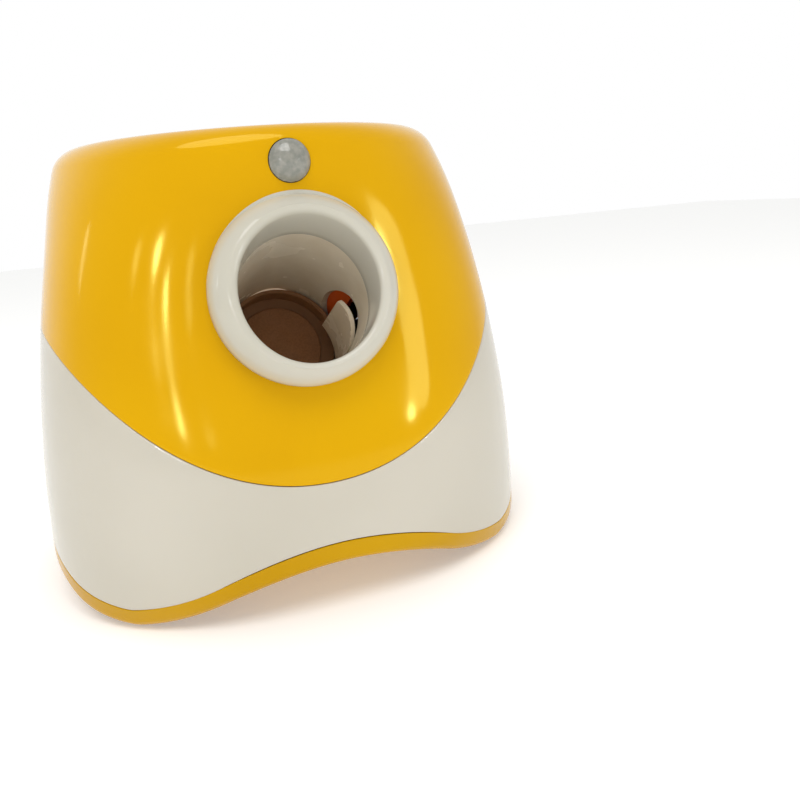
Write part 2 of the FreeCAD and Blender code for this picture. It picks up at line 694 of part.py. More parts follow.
def striker_head():
    """Disc that kicks the ball, with the half sleeve that holds back the next one."""
    disc = rod(HEAD_R, V(0, STRIKER_FACE, 0), V(0, HEAD_BACK, 0))
    recess = rod(21.0, V(0, STRIKER_FACE - 1, 0), V(0, STRIKER_FACE + 1.2, 0))
    sleeve = tube(HEAD_R, HEAD_R - 1.8, V(0, HOOD_START, 0), V(0, SKIRT_END, 0))
    sleeve = sleeve.common(box((-40, 40), (0, 200), (1.6, 40)))
    boss = rod(5.6, V(0, HEAD_BACK - 1, SPRING_Z), V(0, HEAD_BACK + 8, SPRING_Z))
    ribs = box((-1, 1), (HEAD_BACK - 1, HEAD_BACK + 14), (SPRING_Z + COIL_R + 1.6, HEAD_R - 1))
    for side in (-1, 1):
        rib_x = side * 13.0
        ribs = ribs.fuse(box((rib_x - 1, rib_x + 1), (HEAD_BACK - 1, HEAD_BACK + 14), (3, 23)))
    head = fuse(disc, sleeve, boss, ribs).cut(recess)
    face = V(0, STRIKER_FACE, RACK_SCREW_Z)
    hole = rod(1.4, face - V(0, 5, 0), face + V(0, 6, 0))
    sink = rod(2.5, face, face + V(0, 2.65, 0))
    return in_tube(head.cut(hole).cut(sink))


def striker_pad():
    """Soft facing pressed into the disc."""
    pad = rod(20.9, V(0, STRIKER_FACE - 1.6, 0), V(0, STRIKER_FACE + 1.2, 0))
    front = [e for e in pad.Edges if e.BoundBox.YMax < STRIKER_FACE - 1.5]
    return in_tube(pad.makeFillet(1.0, front))


def rack_bar():
    """Toothed bar behind the disc, with the teeth pointing down."""
    pitch = math.pi * MODULE
    half_tooth = pitch / 4 - BACKLASH / 2
    lean = math.tan(math.radians(PRESSURE))
    tip = RACK_LINE - ADDENDUM * MODULE
    root = RACK_LINE + DEDENDUM * MODULE
    last = DRIVE_AT[0] + pitch / 2
    count = int(STRIKER_TRAVEL / pitch) + 3
    low_half = half_tooth - ADDENDUM * MODULE * lean
    high_half = half_tooth + DEDENDUM * MODULE * lean
    corners = [(last + 3.5, RACK_TOP), (last + 3.5, root)]
    for i in range(count):
        centre = last - i * pitch
        corners.append((centre + high_half, root))
        corners.append((centre + low_half, tip))
        corners.append((centre - low_half, tip))
        corners.append((centre - high_half, root))
    corners.append((HEAD_BACK, root))
    corners.append((HEAD_BACK, RACK_TOP))
    bar = polygon(corners, -RACK_HALF, 2 * RACK_HALF)
    start = V(0, HEAD_BACK - 1, RACK_SCREW_Z)
    hole = rod(COLLAR_SCREW_SHANK + GRIP, start, start + V(0, 10.2, 0))
    return in_tube(bar.cut(hole))


def striker_screw():
    head = V(0, STRIKER_FACE + 1.25, RACK_SCREW_Z)
    tip = V(0, HEAD_BACK + 9, RACK_SCREW_Z)
    return in_tube(screw(head, tip, 2.4, COLLAR_SCREW_SHANK, 1.4))


def launch_spring():
    """Compression spring between the disc and the rear bracket."""
    wire_r = 0.75
    length = SPRING_SEAT - HEAD_BACK - 2 * wire_r - 0.2
    turns = 15
    helix = Part.makeHelix(length / turns, length, COIL_R)
    profile = Part.Wire(Part.makeCircle(wire_r, V(COIL_R, 0, 0), Y_AXIS))
    spring = Part.Wire(helix).makePipeShell([profile], True, True)
    spring.rotate(V(0, 0, 0), X_AXIS, -90)
    spring.translate(V(0, HEAD_BACK + wire_r + 0.1, SPRING_Z))
    return in_tube(spring)


def spring_guide():
    guide = rod(5.4, V(0, 172, SPRING_Z), V(0, SPRING_SEAT, SPRING_Z))
    nose = [e for e in guide.Edges if e.BoundBox.YMax < 172.1]
    guide = guide.makeFillet(2.0, nose)
    tail = rod(3.0, V(0, SPRING_SEAT, SPRING_Z), V(0, SPRING_SEAT + 4, SPRING_Z))
    return in_tube(guide.fuse(tail))


def rear_bracket():
    """Post that takes the spring's push and guides the rack's end."""
    plate = box((-24, 24), (SPRING_SEAT, SPRING_SEAT + 3.6), (-40, 19))
    slot = box((-RACK_HALF - 0.5, RACK_HALF + 0.5), (SPRING_SEAT - 5, SPRING_SEAT + 9),
               (RACK_LINE - 2.2, RACK_TOP + 0.5))
    plate = plate.cut(slot)
    plate = plate.cut(rod(3.02, V(0, 200, SPRING_Z), V(0, 240, SPRING_Z)))
    plate = in_tube(plate).cut(box((-60, 60), (40, 140), (-20, MECH_FLOOR + 0.1)))
    foot = box((-25.5, 25.5), (89, 106), (MECH_FLOOR + 0.1, MECH_FLOOR + 2.4))
    bracket = plate.fuse(foot)
    for side in (-1, 1):
        rib = in_tube(polygon([(SPRING_SEAT - 9, -40), (SPRING_SEAT + 1, -40),
                               (SPRING_SEAT + 1, -2)], side * 22 - 1, 2))
        rib = rib.cut(box((-60, 60), (40, 140), (-20, MECH_FLOOR + 0.1)))
        bracket = bracket.fuse(rib)
    for x in (-20.0, 20.0):
        bracket = bracket.cut(rod(1.7, V(x, 96, 20), V(x, 96, 40)))
        bracket = bracket.cut(rod(3.0, V(x, 96, MECH_FLOOR + 2.4), V(x, 96, 40)))
    return bracket.removeSplitter()


# ---------------------------------------------------------------- gears
PRESSURE = 20.0
ADDENDUM = 0.8              # in modules
DEDENDUM = 1.15
BACKLASH = 0.16
FINE_BACKLASH = 0.12


def involute(angle):
    return math.tan(angle) - angle


def flank_angle(radius, pitch_r, teeth, backlash):
    """Half the angle that one tooth fills at a radius."""
    pressure = math.radians(PRESSURE)
    base = pitch_r * math.cos(pressure)
    at = math.acos(base / max(radius, base))
    half_pitch = math.pi / (2 * teeth) - backlash / (2 * pitch_r)
    return half_pitch + involute(pressure) - involute(at)


def gear(teeth, module, at, phase, x_low, x_high, kept=None):
    """Spur gear about X. kept lists the teeth that exist, counted from the one at phase."""
    pitch_r = teeth * module / 2
    backlash = BACKLASH if module == MODULE else FINE_BACKLASH
    root_r = pitch_r - DEDENDUM * module
    tip_r = pitch_r + ADDENDUM * module
    base_r = pitch_r * math.cos(math.radians(PRESSURE))
    flank_start = max(root_r, base_r)
    radii = [flank_start + (tip_r - flank_start) * share for share in (0, 0.3, 0.65, 1)]
    if root_r < base_r:
        radii.insert(0, root_r)

    def spot(radius, angle):
        return V(x_low, at[0] + radius * math.cos(angle), at[1] + radius * math.sin(angle))

    blank = rod(root_r + 0.02, V(x_low, at[0], at[1]), V(x_high, at[0], at[1]))
    solids = []
    for index in (range(teeth) if kept is None else kept):
        centre = phase + 2 * math.pi * index / teeth
        halves = [flank_angle(r, pitch_r, teeth, backlash) for r in radii]
        rising = [spot(r, centre - h) for r, h in zip(radii, halves)]
        falling = [spot(r, centre + h) for r, h in zip(reversed(radii), reversed(halves))]
        inner = root_r - 0.35 * module
        corners = [spot(inner, centre - halves[0])] + rising + falling
        corners.append(spot(inner, centre + halves[0]))
        corners.append(corners[0])
        tooth = Part.Face(Part.makePolygon(corners)).extrude(V(x_high - x_low, 0, 0))
        solids.append(tooth)
    return blank.multiFuse(solids).removeSplitter()


def meshed_phase(at, phase, teeth, other_at, other_teeth):
    """Phase of a second gear so that its teeth fall between those of the first."""
    bearing = math.atan2(other_at[1] - at[1], other_at[0] - at[0])
    ahead = (phase - bearing) * teeth / other_teeth
    return bearing + math.pi - ahead + math.pi / other_teeth


def beside(at, distance, bearing):
    """Point at a distance and bearing (degrees) from another."""
    turn = math.radians(bearing)
    return (at[0] + distance * math.cos(turn), at[1] + distance * math.sin(turn))


SECOND_AT = beside(DRIVE_AT, MODULE * (OUTPUT_TEETH + SMALL_TEETH) / 2, 220)
FIRST_AT = beside(SECOND_AT, FINE_MODULE * (SECOND_TEETH + SMALL_TEETH) / 2, 200)
PINION_AT = beside(FIRST_AT, FINE_MODULE * (FIRST_TEETH + SMALL_TEETH) / 2, 185)

DRIVE_PHASE = math.pi / 2
SECOND_PHASE = meshed_phase(DRIVE_AT, DRIVE_PHASE, OUTPUT_TEETH, SECOND_AT, SMALL_TEETH)
FIRST_PHASE = meshed_phase(SECOND_AT, SECOND_PHASE, SECOND_TEETH, FIRST_AT, SMALL_TEETH)
PINION_PHASE = meshed_phase(FIRST_AT, FIRST_PHASE, FIRST_TEETH, PINION_AT, SMALL_TEETH)

PLATE_LEFT = (-10.0, -7.5)
PLATE_RIGHT = (31.0, 33.5)
OUTPUT_X = (8.5, 14.5)
SECOND_SMALL_X = (8.5, 15.0)
SECOND_BIG_X = (15.0, 19.0)
FIRST_SMALL_X = (14.5, 19.5)
FIRST_BIG_X = (19.5, 23.0)
PINION_X = (19.0, 27.5)
OUTPUT_SHAFT_R = 3.0
BUSH_R = 5.0
PIN_R = 2.0
MOTOR_SHAFT_R = 1.0


def across(radius, at, low, high):
    """Round bar along X in the tube frame."""
    return rod(radius, V(low, at[0], at[1]), V(high, at[0], at[1]))


def sector_gear():
    """Drive gear with some teeth missing, so that it lets the striker go."""
    stroke_teeth = STRIKER_TRAVEL / (math.pi * MODULE)
    kept = range(-1, math.ceil(stroke_teeth) + 1)
    wheel = gear(DRIVE_TEETH, MODULE, DRIVE_AT, DRIVE_PHASE, -RACK_HALF, RACK_HALF, kept)
    hub = across(6.0, DRIVE_AT, RACK_HALF - 0.5, OUTPUT_X[0] - 0.05)
    return in_tube(wheel.fuse(hub).cut(across(OUTPUT_SHAFT_R + 0.02, DRIVE_AT, -20, 20)))


def output_gear():
    wheel = gear(OUTPUT_TEETH, MODULE, DRIVE_AT, DRIVE_PHASE, *OUTPUT_X)
    for i in range(5):
        hole = across(3.4, beside(DRIVE_AT, 10.5, 72 * i), OUTPUT_X[0] - 1, OUTPUT_X[1] + 1)
        wheel = wheel.cut(hole)
    return in_tube(wheel.cut(across(OUTPUT_SHAFT_R + 0.02, DRIVE_AT, -20, 40)))


CAM_X = (-18.0, -14.2)
CAM_R = 6.5
CAM_THROW = 1.5


def output_shaft():
    """Shaft of the two big gears; the cam at its left end works the home switch."""
    shaft = across(OUTPUT_SHAFT_R, DRIVE_AT, CAM_X[0], 36.5)
    shaft = shaft.fuse(across(CAM_R, beside(DRIVE_AT, CAM_THROW, 90), *CAM_X))
    collar_left = across(5.0, DRIVE_AT, -7.2, -RACK_HALF - 0.1)
    collar_right = across(5.0, DRIVE_AT, OUTPUT_X[1] + 0.1, 30.7)
    return in_tube(shaft.fuse(collar_left).fuse(collar_right))


def second_gear():
    small = gear(SMALL_TEETH, MODULE, SECOND_AT, SECOND_PHASE, *SECOND_SMALL_X)
    big = gear(SECOND_TEETH, FINE_MODULE, SECOND_AT, SECOND_PHASE, *SECOND_BIG_X)
    hub = across(4.0, SECOND_AT, -7.2, SECOND_SMALL_X[0]).fuse(
        across(4.0, SECOND_AT, SECOND_BIG_X[1], 30.7))
    cluster = small.fuse(big).fuse(hub)
    return in_tube(cluster.cut(across(PIN_R + 0.06, SECOND_AT, -20, 40)))


def first_gear():
    small = gear(SMALL_TEETH, FINE_MODULE, FIRST_AT, FIRST_PHASE, *FIRST_SMALL_X)
    big = gear(FIRST_TEETH, FINE_MODULE, FIRST_AT, FIRST_PHASE, *FIRST_BIG_X)
    hub = across(2.75, FIRST_AT, -7.2, FIRST_SMALL_X[0]).fuse(
        across(2.75, FIRST_AT, FIRST_BIG_X[1], 30.7))
    cluster = small.fuse(big).fuse(hub)
    return in_tube(cluster.cut(across(PIN_R + 0.06, FIRST_AT, -20, 40)))


def motor_pinion():
    wheel = gear(SMALL_TEETH, FINE_MODULE, PINION_AT, PINION_PHASE, *PINION_X)
    shaft = across(MOTOR_SHAFT_R, PINION_AT, PINION_X[1] - 1, MOTOR_X[0] + 6)
    return in_tube(wheel.fuse(shaft))


PLATE_TOP = -3.4
PLATE_OUTLINE = [(101, -36), (108, -32.6), (155.3, -32.6), (155.5, PLATE_TOP), (192, PLATE_TOP),
                 (196.5, -10), (196.5, -40), (150, -66), (101, -66)]
POSTS = ((107.5, -58.0), (192.0, -24.0), (134.5, -58.4))
MOTOR_X = (33.6, 64.6)
MOTOR_R = 12.2
MOTOR_SCREWS = (beside(PINION_AT, 8.0, 60), beside(PINION_AT, 8.0, 240))


def gear_plate(x, foot):
    plate = polygon(PLATE_OUTLINE, x[0], x[1] - x[0])
    plate = in_tube(plate).cut(box((-90, 90), (-90, 140), (-20, MECH_FLOOR + 0.1)))
    sole = box(foot, (10, 50), (MECH_FLOOR + 0.1, MECH_FLOOR + 2.6))
    return plate.fuse(sole)


def drill_feet(plate, x):
    for y in (16.0, 44.0):
        plate = plate.cut(rod(1.6, V(x, y, 10), V(x, y, 40)))
    return plate


def gear_plate_left():
    plate = gear_plate(PLATE_LEFT, (-25, PLATE_LEFT[1]))
    for at in POSTS:
        post = across(3.0, at, PLATE_LEFT[1] - 0.5, PLATE_RIGHT[0])
        pilot = across(POST_SCREW_R + GRIP, at, PLATE_RIGHT[0] - 13, PLATE_RIGHT[0] + 1)
        plate = plate.fuse(in_tube(post)).cut(in_tube(pilot))
    plate = plate.cut(in_tube(across(BUSH_R, DRIVE_AT, -20, -5)))
    for at in (SECOND_AT, FIRST_AT):
        plate = plate.cut(in_tube(across(PIN_R + 0.02, at, -20, -5)))
    return drill_feet(plate, -20.0).removeSplitter()


def gear_plate_right():
    plate = gear_plate(PLATE_RIGHT, (PLATE_RIGHT[0], 49))
    plate = plate.cut(in_tube(across(BUSH_R, DRIVE_AT, 25, 45)))
    for at in (SECOND_AT, FIRST_AT):
        plate = plate.cut(in_tube(across(PIN_R + 0.02, at, 25, 45)))
    plate = plate.cut(in_tube(across(4.6, PINION_AT, 25, 45)))
    for at in POSTS:
        plate = plate.cut(in_tube(across(1.6, at, 25, 45)))
    for at in MOTOR_SCREWS:
        plate = plate.cut(in_tube(across(1.4, at, 25, 45)))
    return drill_feet(plate, 44.0).removeSplitter()


def gear_bushes():
    bushes = []
    for low, high in (PLATE_LEFT, PLATE_RIGHT):
        ring = across(BUSH_R - 0.02, DRIVE_AT, low, high)
        bore = across(OUTPUT_SHAFT_R + 0.05, DRIVE_AT, low - 1, high + 1)
        bushes.append(in_tube(ring.cut(bore)))
    return Part.makeCompound(bushes)


def gear_pin(at):
    return in_tube(across(PIN_R, at, PLATE_LEFT[0], PLATE_RIGHT[1]))


def gearbox_screws():
    screws = []
    for at in POSTS:
        head = V(PLATE_RIGHT[1] + 2.0, at[0], at[1])
        tip = V(PLATE_RIGHT[1] - 12, at[0], at[1])
        screws.append(in_tube(screw(head, tip, 2.6, POST_SCREW_R)))
    return Part.makeCompound(screws)


def motor():
    """Round can with a bearing boss at the front and two terminals behind."""
    can = across(MOTOR_R, PINION_AT, *MOTOR_X)
    ends = [e for e in can.Edges if e.BoundBox.XLength < 0.01]
    can = can.makeFillet(1.2, ends)
    boss = across(3.6, PINION_AT, MOTOR_X[0] - 2.0, MOTOR_X[0] + 0.5)
    cap = across(3.5, PINION_AT, MOTOR_X[1] - 0.5, MOTOR_X[1] + 2.6)
    body = can.fuse(boss).fuse(cap)
    for side in (-1, 1):
        y = PINION_AT[0] + side * 7.5
        body = body.fuse(box((MOTOR_X[1] - 1, MOTOR_X[1] + 4.5), (y - 0.3, y + 0.3),
                             (PINION_AT[1] - 1.4, PINION_AT[1] + 1.4)))
    body = body.cut(across(MOTOR_SHAFT_R + 0.06, PINION_AT, MOTOR_X[0] - 5, MOTOR_X[0] + 7))
    for at in MOTOR_SCREWS:
        body = body.cut(across(MOTOR_SCREW_R + GRIP, at, MOTOR_X[0] - 1, MOTOR_X[0] + 4))
    return in_tube(body)


def motor_screws():
    screws = []
    for at in MOTOR_SCREWS:
        head = V(PLATE_RIGHT[0] - 1.4, at[0], at[1])
        tip = V(MOTOR_X[0] + 3.8, at[0], at[1])
        screws.append(in_tube(screw(head, tip, 2.0, MOTOR_SCREW_R, 1.4)))
    return Part.makeCompound(screws)


# ---------------------------------------------------------------- supports and switches
def tube_cradle():
    """Saddle post under the front half of the tube."""
    post = box((-15, 15), (-70, -56), (MECH_FLOOR + 0.1, 96))
    hollow = box((-12, 12), (-67.6, -50), (MECH_FLOOR + 3.0, 78))
    post = post.cut(hollow)
    for x, y in MECH_PADS[6:8]:
        post = post.cut(rod(1.6, V(x, y, 20), V(x, y, 40)))
    return post.cut(in_tube(rod(TUBE_R + TUBE_WALL + 0.05, V(0, -40, 0), V(0, 160, 0))))


def mount_screws():
    """Screws that hold the plates, bracket and holder to the base."""
    screws = []
    tabs = [2.6] * 4 + [2.4] * 2 + [3.0] * 2 + [2.8] * 2
    for (x, y), tab in zip(MECH_PADS, tabs):
        head = V(x, y, MECH_FLOOR + tab + 2.0)
        screws.append(screw(head, V(x, y, MECH_FLOOR - 5), 2.8, MOUNT_SCREW_R))
    return Part.makeCompound(screws)


LEVER_X = (-18.5, -14.5)
LEVER_PIN = (158.6, -11.8)
LEVER_ROLLER_R = 1.6


def home_switch():
    """Microswitch on the left plate that tells when the striker is home."""
    body = box((-19.5, PLATE_LEFT[0] - 0.02), (157.5, 171), (-10.4, PLATE_TOP))
    button_x = (LEVER_X[0] + LEVER_X[1]) / 2
    button = rod(0.8, V(button_x, 165, -11.2), V(button_x, 165, -10.3))
    return in_tube(body.fuse(button))


def home_lever():
    """Sprung blade under the home switch, with its pin and its roller over the cam."""
    low, high = LEVER_PIN[1] - 0.2, LEVER_PIN[1] + 0.2
    blade = box(LEVER_X, (LEVER_PIN[0], DRIVE_AT[0] + 0.8), (low, high))
    cam_top = DRIVE_AT[1] + CAM_THROW + CAM_R
    roller = across(LEVER_ROLLER_R, (DRIVE_AT[0], cam_top + 0.35 + LEVER_ROLLER_R), *LEVER_X)
    return in_tube(blade.fuse(roller).fuse(across(0.7, LEVER_PIN, *LEVER_X)))


# ---------------------------------------------------------------- sensor
def sensor_lens():
    """Domed window over the motion sensor."""
    rise = 4.2
    ball = (SENSOR_R ** 2 + rise ** 2) / (2 * rise)
    centre = V(0, SENSOR_Y - 0.6 - rise + ball, SENSOR_Z)
    dome = Part.makeSphere(ball, centre).cut(Part.makeSphere(ball - 1.0, centre))
    dome = dome.common(box((-20, 20), (SENSOR_Y - 10, SENSOR_Y - 0.6), (170, 200)))
    front = V(0, SENSOR_Y - 0.65, SENSOR_Z)
    return dome.fuse(tube(SENSOR_R, SENSOR_R - 1.0, front, V(0, SENSOR_Y + 5, SENSOR_Z)))


def sensor_holder():
    """Cup behind the lens that carries the sensor's board."""
    front = V(0, SENSOR_Y + 3.2, SENSOR_Z)
    back = V(0, SENSOR_Y + 12, SENSOR_Z)
    cup = tube(SENSOR_R + 0.9, SENSOR_R + 0.1, front, back)
    flange_room = box((-20, 20), (SENSOR_Y, SENSOR_Y + 13), (SENSOR_Z + 8.4, SENSOR_Z + 12))
    funnel_room = box((-20, 20), (SENSOR_Y + 8.4, SENSOR_Y + 13), (SENSOR_Z + 4.5, SENSOR_Z + 12))
    return cup.cut(OUTER.cut(body_form(WALL + 0.1))).cut(flange_room).cut(funnel_room)


def sensor_board():
    y = SENSOR_Y + 12.1
    return box((-9, 9), (y, y + 1.2), (SENSOR_Z - 9, SENSOR_Z + 5))


def sensor_can():
    front = SENSOR_Y + 6.5
    can = rod(4.5, V(0, front, SENSOR_Z), V(0, SENSOR_Y + 12.05, SENSOR_Z))
    brim = rod(4.9, V(0, SENSOR_Y + 11.2, SENSOR_Z), V(0, SENSOR_Y + 12.05, SENSOR_Z))
    return can.fuse(brim)


# ---------------------------------------------------------------- controls on the back
BUTTON_R = 5.0
BUTTONS_X = (-17.0, 17.0)
LIGHTS_X = (-5.0, 0.0, 5.0)


def control_panel():
    half_x, half_z = PANEL_HALF
    panel = rounded_plate(half_x, half_z, PANEL_CORNER, -1.5, 0.6)
    for x in BUTTONS_X:
        panel = panel.cut(rod(BUTTON_R + 0.25, V(x, -5, 0), V(x, 5, 0)))
    for x in LIGHTS_X:
        panel = panel.cut(rod(1.3, V(x, -5, 0), V(x, 5, 0)))
    return in_panel(panel)


def push_button(x):
    """Round cap with a wider foot that keeps it behind the panel."""
    cap = rod(BUTTON_R, V(x, -3.4, 0), V(x, 1.8, 0))
    rim = [e for e in cap.Edges if e.BoundBox.YMin > 1.7]
    cap = cap.makeFillet(0.6, rim)
    foot = rod(BUTTON_R + 1.0, V(x, -4.4, 0), V(x, -3.0, 0))
    return in_panel(cap.fuse(foot))


def status_lights():
    return Part.makeCompound([in_panel(rod(1.2, V(x, -5.6, 0), V(x, 0.9, 0))) for x in LIGHTS_X])


def button_board():
    """Small board behind the panel with a dome switch under each button."""
    board = box((-24, 24), (-9.0, -7.6), (-10, 10))
    for x in BUTTONS_X:
        board = board.fuse(rod(2.4, V(x, -7.8, 0), V(x, -5.5, 0)))
    return in_panel(board)


# ---------------------------------------------------------------- power and electronics
def charge_inlet():
    """Charging socket with its open mouth in the recess."""
    shell = rounded_plate(4.5, 1.65, 1.5, -9.5, -RECESS - 0.1)
    mouth = rounded_plate(4.15, 1.3, 1.2, -8.5, 0)
    blade = rounded_plate(3.2, 0.35, 0.2, -9, -RECESS - 1.0)
    return in_inlet(shell.cut(mouth).fuse(blade))


def charge_board():
    return in_inlet(box((-9, 9), (-24, -5.2), (-3.3, -1.75)))


COVER_ROLL_R = 0.4
COVER_ROLL_Y = 0.6
COVER_ROLL_Z = -5.0


def inlet_cover():
    """Soft cap that fills the recess, with a plug lip and the roll it turns on."""
    cap = rounded_plate(7.7, 5.2, 2.3, -RECESS + 0.1, 0.2)
    nub = rounded_plate(3.9, 0.9, 0.8, -RECESS - 0.9, -RECESS + 0.2)
    roll = rod(COVER_ROLL_R, V(-4, COVER_ROLL_Y, COVER_ROLL_Z), V(4, COVER_ROLL_Y, COVER_ROLL_Z))
    return in_inlet(cap.fuse(nub).fuse(roll))


def battery_cells():
    cells = []
    for x in (-60.5, -79.5):
        cell = rod(9.2, V(x, -44, 38.3), V(x, 21, 38.3))
        ends = [e for e in cell.Edges if e.BoundBox.YLength < 0.01]
        cells.append(cell.makeFillet(0.8, ends))
    return Part.makeCompound(cells)


def battery_holder():
    """Open cradle with two end walls, screwed to the base."""
    tray = box((-90.5, -48), (-56, 30), (MECH_FLOOR + 0.1, 28.4))
    sides = box((-90.5, -89.2), (-47.4, 24.4), (27, 42)).fuse(
        box((-50.8, -49.5), (-47.4, 24.4), (27, 42)))
    ends = box((-90.5, -49.5), (-47.4, -45.4), (27, 46)).fuse(
        box((-90.5, -49.5), (22.4, 24.4), (27, 46)))
    holder = tray.fuse(sides).fuse(ends)
    for x, y in MECH_PADS[8:]:
        holder = holder.cut(rod(1.6, V(x, y, 20), V(x, y, 40)))
    return holder.cut(body_outside())


def body_outside():
    """Everything beyond the inside of the casing, used to trim inner pieces."""
    return box((-160, 160), (-160, 160), (-5, 230)).cut(body_form(WALL + 0.6))


def main_board():
    board = box((-88, -36), (30, 80), (BOARD_Z + 0.05, BOARD_Z + 1.6))
    for x, y in BOARD_POSTS:
        board = board.cut(rod(1.5, V(x, y, 20), V(x, y, 50)))
    return board


def board_parts():
    """Chips, capacitors, relay and plugs on the main board."""
    top = BOARD_Z + 1.65
    parts = [
        box((-66, -54), (50, 62), (top, top + 2.2)),
        box((-78, -72), (44, 50), (top, top + 1.6)),
        box((-48, -42), (58, 70), (top, top + 6.5)),
        box((-48, -42), (44, 52), (top, top + 6.5)),
        rod(4.0, V(-74, 60, top), V(-74, 60, top + 11)),
        rod(3.1, V(-64, 70, top), V(-64, 70, top + 9)),
    ]
    return Part.makeCompound(parts)


def buzzer():
    body = rod(6.0, V(-56, 40, BOARD_Z + 1.65), V(-56, 40, BOARD_Z + 10))
    return body.cut(rod(1.2, V(-56, 40, BOARD_Z + 7), V(-56, 40, BOARD_Z + 12)))


def motor_wires():
    """Lead from the motor's terminals round the gearbox to the main board."""
    start = in_tube(Part.Vertex(V(MOTOR_X[1] + 5, PINION_AT[0], PINION_AT[1]))).Point
    return wire_along([start, start + V(8, 0, 0), V(74, 30, 36), V(40, 73, 31), V(-20, 73, 31),
                       V(-30, 66, 39), V(-41.9, 64, 39.5)], 1.6, 5)


# ---------------------------------------------------------------- export
PIECES = {
    "upper_shell": upper_shell,
    "lower_skirt": lower_skirt,
    "base_tray": base_tray,
    "rubber_feet": rubber_feet,
    "casing_screws": casing_screws,
    "launch_collar": launch_collar,
    "collar_screws": collar_screws,
    "launch_tube": launch_tube,
    "ball_flap": ball_flap,
    "flap_frame": flap_frame,
    "flap_pin": flap_pin,
    "flap_spring": flap_spring,
    "ball_switch": ball_switch,
    "hopper_bowl": hopper_bowl,
    "bowl_screws": bowl_screws,
    "drop_chute": drop_chute,
    "striker_head": striker_head,
    "striker_pad": striker_pad,
    "rack_bar": rack_bar,
    "striker_screw": striker_screw,
    "launch_spring": launch_spring,
    "spring_guide": spring_guide,
    "rear_bracket": rear_bracket,
    "sector_gear": sector_gear,
    "output_gear": output_gear,
    "output_shaft": output_shaft,
    "second_gear": second_gear,
    "first_gear": first_gear,
    "motor_pinion": motor_pinion,
    "gear_plate_left": gear_plate_left,
    "gear_plate_right": gear_plate_right,
    "gear_bushes": gear_bushes,
    "gearbox_screws": gearbox_screws,
    "motor": motor,
    "motor_screws": motor_screws,
    "tube_cradle": tube_cradle,
    "mount_screws": mount_screws,
    "home_switch": home_switch,
    "home_lever": home_lever,
    "sensor_lens": sensor_lens,
    "sensor_holder": sensor_holder,
    "sensor_board": sensor_board,
    "sensor_can": sensor_can,
    "control_panel": control_panel,
    "status_lights": status_lights,
    "button_board": button_board,
    "charge_inlet": charge_inlet,
    "charge_board": charge_board,
    "inlet_cover": inlet_cover,
    "battery_cells": battery_cells,
    "battery_holder": battery_holder,
    "main_board": main_board,
    "board_parts": board_parts,
    "buzzer": buzzer,
    "motor_wires": motor_wires,
    "second_pin": lambda: gear_pin(SECOND_AT),
    "first_pin": lambda: gear_pin(FIRST_AT),
    "power_button": lambda: push_button(BUTTONS_X[0]),
    "distance_button": lambda: push_button(BUTTONS_X[1]),
}


def main():
    os.makedirs("parts", exist_ok=True)
    for name, make in PIECES.items():
        shape = make()
        shape.translate(V(0, BOX_SHIFT_Y, 0))
        shape.exportStep(os.path.join("parts", name + ".step"))


main()
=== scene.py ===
# %% [markdown]
# # An automatic ball launcher for dogs
# The launcher is a rounded, squarish body: an amber upper shell, a white skirt below it and an
# amber base with arched edges. Balls dropped in the funnel on top leave through the round
# mouth in front. The frame brings every working piece at its real size. This lesson gives
# the visible plastics their smooth glossy skins, and each material its small unevenness.

# %% Load the frame
import json
import math

import bpy
import numpy as np
from mathutils import Matrix, Vector


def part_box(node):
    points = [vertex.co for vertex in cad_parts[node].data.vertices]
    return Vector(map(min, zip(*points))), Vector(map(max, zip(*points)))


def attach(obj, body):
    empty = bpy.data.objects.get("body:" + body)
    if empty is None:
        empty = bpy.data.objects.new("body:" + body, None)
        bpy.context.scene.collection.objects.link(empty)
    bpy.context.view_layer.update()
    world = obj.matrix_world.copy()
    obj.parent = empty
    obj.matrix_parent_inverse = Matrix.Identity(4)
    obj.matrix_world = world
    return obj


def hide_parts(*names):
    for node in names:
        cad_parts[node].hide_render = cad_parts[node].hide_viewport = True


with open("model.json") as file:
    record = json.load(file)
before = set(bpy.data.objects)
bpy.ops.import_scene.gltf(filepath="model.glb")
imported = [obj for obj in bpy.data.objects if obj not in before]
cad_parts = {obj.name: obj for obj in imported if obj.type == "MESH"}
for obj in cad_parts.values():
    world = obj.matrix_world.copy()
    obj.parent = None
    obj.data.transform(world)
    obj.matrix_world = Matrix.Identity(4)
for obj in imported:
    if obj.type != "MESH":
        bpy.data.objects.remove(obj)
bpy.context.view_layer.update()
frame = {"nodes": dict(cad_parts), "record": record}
nodes = frame["nodes"]

# %% [markdown]
# ## Colours and nodes
# Colours are written as sRGB hex, the way a paint or resin swatch is read on a screen, and
# one function turns them into the linear values that a shader wants. A second one adds a
# node, sets it and links it, so that each material below reads like a short recipe.

# %% Helpers for materials
MM = 0.001


def linear(swatch):
    """Linear RGBA of an sRGB hex swatch."""
    channels = [int(swatch[i:i + 2], 16) / 255 for i in (1, 3, 5)]
    return [c / 12.92 if c <= 0.04045 else ((c + 0.055) / 1.055) ** 2.4 for c in channels] + [1.0]


def blank(name):
    """A new material with no nodes."""
    material = bpy.data.materials.new(name)
    material.use_nodes = True
    material.node_tree.nodes.clear()
    return material


def add(material, kind, inputs, output=0, **settings):
    """Add a node; an input is a value or the socket that feeds it. Returns one output socket."""
    tree = material.node_tree
    node = tree.nodes.new("ShaderNode" + kind)
    for name, value in settings.items():
        setattr(node, name, value)
    for name, value in inputs.items():
        if isinstance(value, bpy.types.NodeSocket):
            tree.links.new(value, node.inputs[name])
        else:
            node.inputs[name].default_value = value
    return node.outputs[output]


